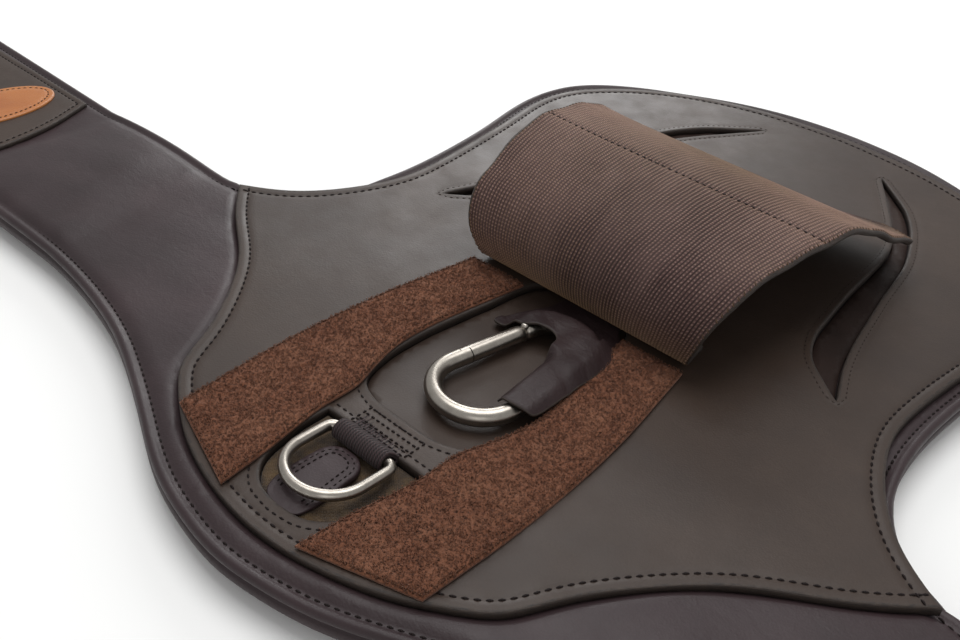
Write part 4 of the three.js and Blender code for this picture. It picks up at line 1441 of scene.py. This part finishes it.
def build_ends():
    for side, sign in (("right", 1), ("left", -1)):
        body = f"end_{side}"
        elastic = make(f"elastic_{side}_look", *ribbed_strap(*node_box(f"elastic_{side}")),
                       ELASTIC, body=body, slot="elastic")
        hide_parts(f"elastic_{side}")
        low, high = node_box(f"end_tab_{side}")
        loop, crown, shape = soft_box(low, high, 5.0)
        tab = make(f"end_tab_{side}_look", shape[0], shape[1], SOFT, body=body,
                   slot="soft_leather")
        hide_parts(f"end_tab_{side}")
        line = inset(loop, 3.4)
        rows = [stitch_row(np.column_stack([line, crown(line)]), pitch=3.2, length=2.4, width=0.42,
                           sink=0.0, closed=True)]
        for place in ("front", "rear"):
            build_buckle(side, sign, place, body, rows)
        make(f"end_stitches_{side}", *joined(rows), THREAD, body=body)


def build_buckle(side, sign, place, body, rows):
    label = f"{side}_{place}"
    low, high = node_box(f"chape_{label}")
    mid_y = (low[1] + high[1]) / 2
    bar = joint_at(f"tongue_{label}")
    roller_at = joint_at(f"roller_{label}")
    z0 = bar[2]
    # the chape folds round the hinge bar, with a slot for the tongue
    loops = chape_section(low, high, bar, sign)
    for k, (y0, y1) in enumerate(((low[1], mid_y - 3.4), (mid_y + 3.4, high[1]))):
        name = f"chape_{label}_{'ab'[k]}"
        piece = make(name, *prism_along_y(loops, y0, y1), SOFT, body=body, slot="soft_leather")
        if k == 0:
            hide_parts(f"chape_{label}")
    x0, x1 = sorted((bar[0], roller_at[0]))
    low_f, high_f = node_box(f"buckle_frame_{label}")
    half = (high_f[1] - low_f[1]) / 2 - 2.2
    c = 4.0
    flat = rounded_box((x0, mid_y - half), (x1, mid_y + half), c)
    path = smooth_loop(flat, 1.2, corner=80)
    frame_piece = make(f"buckle_frame_{label}_look",
                       *tube(np.column_stack([path, np.full(len(path), z0)]), 2.15, 16,
                             closed=True), STEEL, body=body, slot="steel")
    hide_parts(f"buckle_frame_{label}")
    low_r, high_r = node_box(f"buckle_roller_{label}")
    span = np.array([low_r[1], low_r[1] + 0.5, low_r[1] + 1.2, low_r[1] + 1.7, high_r[1] - 1.7,
                     high_r[1] - 1.2, high_r[1] - 0.5, high_r[1]])
    radii = np.array([3.3, 3.65, 3.65, 3.45, 3.45, 3.65, 3.65, 3.3])
    line = np.column_stack([np.full(8, roller_at[0]), span, np.full(8, roller_at[2])])
    roller = make(f"buckle_roller_{label}_look", *tube(line, radii, 20), STEEL,
                  body=f"roller_{label}", slot="steel")
    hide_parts(f"buckle_roller_{label}")
    loop_r = 3.3
    ring = [(bar[0] + sign * loop_r * math.cos(math.radians(a)), z0 + loop_r
             * math.sin(math.radians(a))) for a in range(-40, 281, 20)]
    shank = [(bar[0] + sign * 6.0, z0 + 3.6), (bar[0] + sign * 12, z0 + 4.9),
             (roller_at[0] - sign * 3, z0 + 5.4), (roller_at[0] + sign * 3.6, z0 + 4.9)]
    path = spline(np.array(ring[::-1][:-2] + shank), 0.8)
    points = np.column_stack([path[:, 0], np.full(len(path), mid_y), path[:, 1]])
    tongue = make(f"buckle_tongue_{label}_look", *tube(points, 1.45, 12, up=(0, 1, 0)), STEEL,
                  body=f"tongue_{label}", slot="steel")
    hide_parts(f"buckle_tongue_{label}")
    for y in (mid_y - 9, mid_y + 9):
        x_line = np.linspace(bar[0] - sign * 8.6, bar[0] - sign * 5.2, 6)
        rows.append(stitch_row(np.column_stack([x_line, np.full(6, y), np.full(6, high[2])]),
                               pitch=3.0, length=2.2, width=0.4))


def chape_section(low, high, bar, sign):
    """The fold's side view, (x, z), round the hinge bar."""
    tall = (high[2] - low[2]) / 2
    mid = (high[2] + low[2]) / 2
    root = low[0] - 3 if sign > 0 else high[0] + 3
    nose = [(bar[0] + sign * tall * math.sin(a), mid + tall * math.cos(a))
            for a in np.linspace(0.1, math.pi - 0.1, 14)]
    return np.array([(root, mid + tall - 0.5), (bar[0] - sign * 3, mid + tall), *nose,
                     (bar[0] - sign * 3, mid - tall), (root, mid - tall + 0.5)])


def prism_along_y(section, y0, y1):
    """A section (x, z) carried along y, its ends rounded over."""
    mid = section.mean(0)
    verts, rows = [], []
    for y, shrink in ((y0, 0.9), (y0 + 0.4, 0.97), (y0 + 1.1, 1.0), (y1 - 1.1, 1.0),
                      (y1 - 0.4, 0.97), (y1, 0.9)):
        ring = mid + (section - mid) * shrink
        rows.append(np.column_stack([ring[:, 0], np.full(len(ring), y), ring[:, 1]]))
    verts = np.concatenate(rows)
    n = len(section)
    faces = [[i * n + k, (i + 1) * n + k, (i + 1) * n + (k + 1) % n, i * n + (k + 1) % n]
             for i in range(5) for k in range(n)]
    faces += [list(range(n)), [5 * n + k for k in range(n)][::-1]]
    return verts, faces


# ---- build it all -----------------------------------------------------------------------------
build_skin()
skin_stitches()
build_plate()
plate_stitches()
build_floors()
build_strips()
build_d_ring()
build_webbing()
build_tab()
build_hook()
build_keeper()
build_flap()
build_overlays()
build_badge()
build_ends()

for node in frame["nodes"].values():
    if not node.hide_render:
        node.data.materials.clear()
        node.data.materials.append(STEEL)

for obj in bpy.context.scene.objects:
    if obj.type == "MESH" and "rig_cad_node" not in obj and not obj.name.startswith("flap_"):
        shape = bmesh.new()
        shape.from_mesh(obj.data)
        bmesh.ops.recalc_face_normals(shape, faces=shape.faces)
        shape.to_mesh(obj.data)
        shape.free()
    if obj.name in ("snap_hook_body", "hook_gate_bar"):
        obj.data.set_sharp_from_angle(angle=HOOK_SHARP)

# ---- floor, light and camera ------------------------------------------------------------------
bpy.ops.mesh.primitive_plane_add(size=12, location=(0, 0, -0.0005))
floor = bpy.context.object
floor.name = "studio_floor"
floor.data.materials.append(floor_finish())


def area_light(name, place, target, size, power):
    data = bpy.data.lights.new(name, "AREA")
    data.shape, data.size, data.energy = "DISK", size, power
    obj = bpy.data.objects.new(name, data)
    bpy.context.scene.collection.objects.link(obj)
    obj.location = place
    obj.rotation_mode = "QUATERNION"
    obj.rotation_quaternion = (Vector(target) - Vector(place)).to_track_quat("-Z", "Y")


area_light("key_behind_left", (-1.3, 1.6, 0.85), (0, 0, 0), 1.1, 16)
area_light("top_soft", (-0.35, 0.4, 2.05), (0, 0, 0), 1.8, 28)
area_light("fill_front", (1.2, -1.4, 0.9), (0, 0, 0), 1.2, 3)

world = bpy.data.worlds.new("studio")
world.use_nodes = True
world.node_tree.nodes["Background"].inputs["Color"].default_value = (1, 1, 1, 1)
world.node_tree.nodes["Background"].inputs["Strength"].default_value = 0.5
bpy.context.scene.world = world
bpy.context.scene.view_settings.view_transform = "Standard"

CAMERA = {"turn": 39.473, "rise": 36.281, "roll": 4.921, "lens": 39.51,
          "at": (190.214, -175.406, 244.806)}


def place_camera():
    a, e, r = (math.radians(CAMERA[k]) for k in ("turn", "rise", "roll"))
    back = Vector((math.sin(a) * math.cos(e), -math.cos(a) * math.cos(e), math.sin(e)))
    right = Vector((math.cos(a), math.sin(a), 0))
    up = back.cross(right)
    x_axis = right * math.cos(r) + up * math.sin(r)
    y_axis = -right * math.sin(r) + up * math.cos(r)
    data = bpy.data.cameras.new("camera")
    data.lens, data.sensor_width = CAMERA["lens"], 36
    data.clip_start, data.clip_end = 0.005, 20
    camera = bpy.data.objects.new("camera", data)
    bpy.context.scene.collection.objects.link(camera)
    turned = Matrix((x_axis, y_axis, back)).transposed().to_4x4()
    turned.translation = Vector(to_row(CAMERA["at"]).tolist())
    camera.matrix_world = turned
    bpy.context.scene.camera = camera


place_camera()
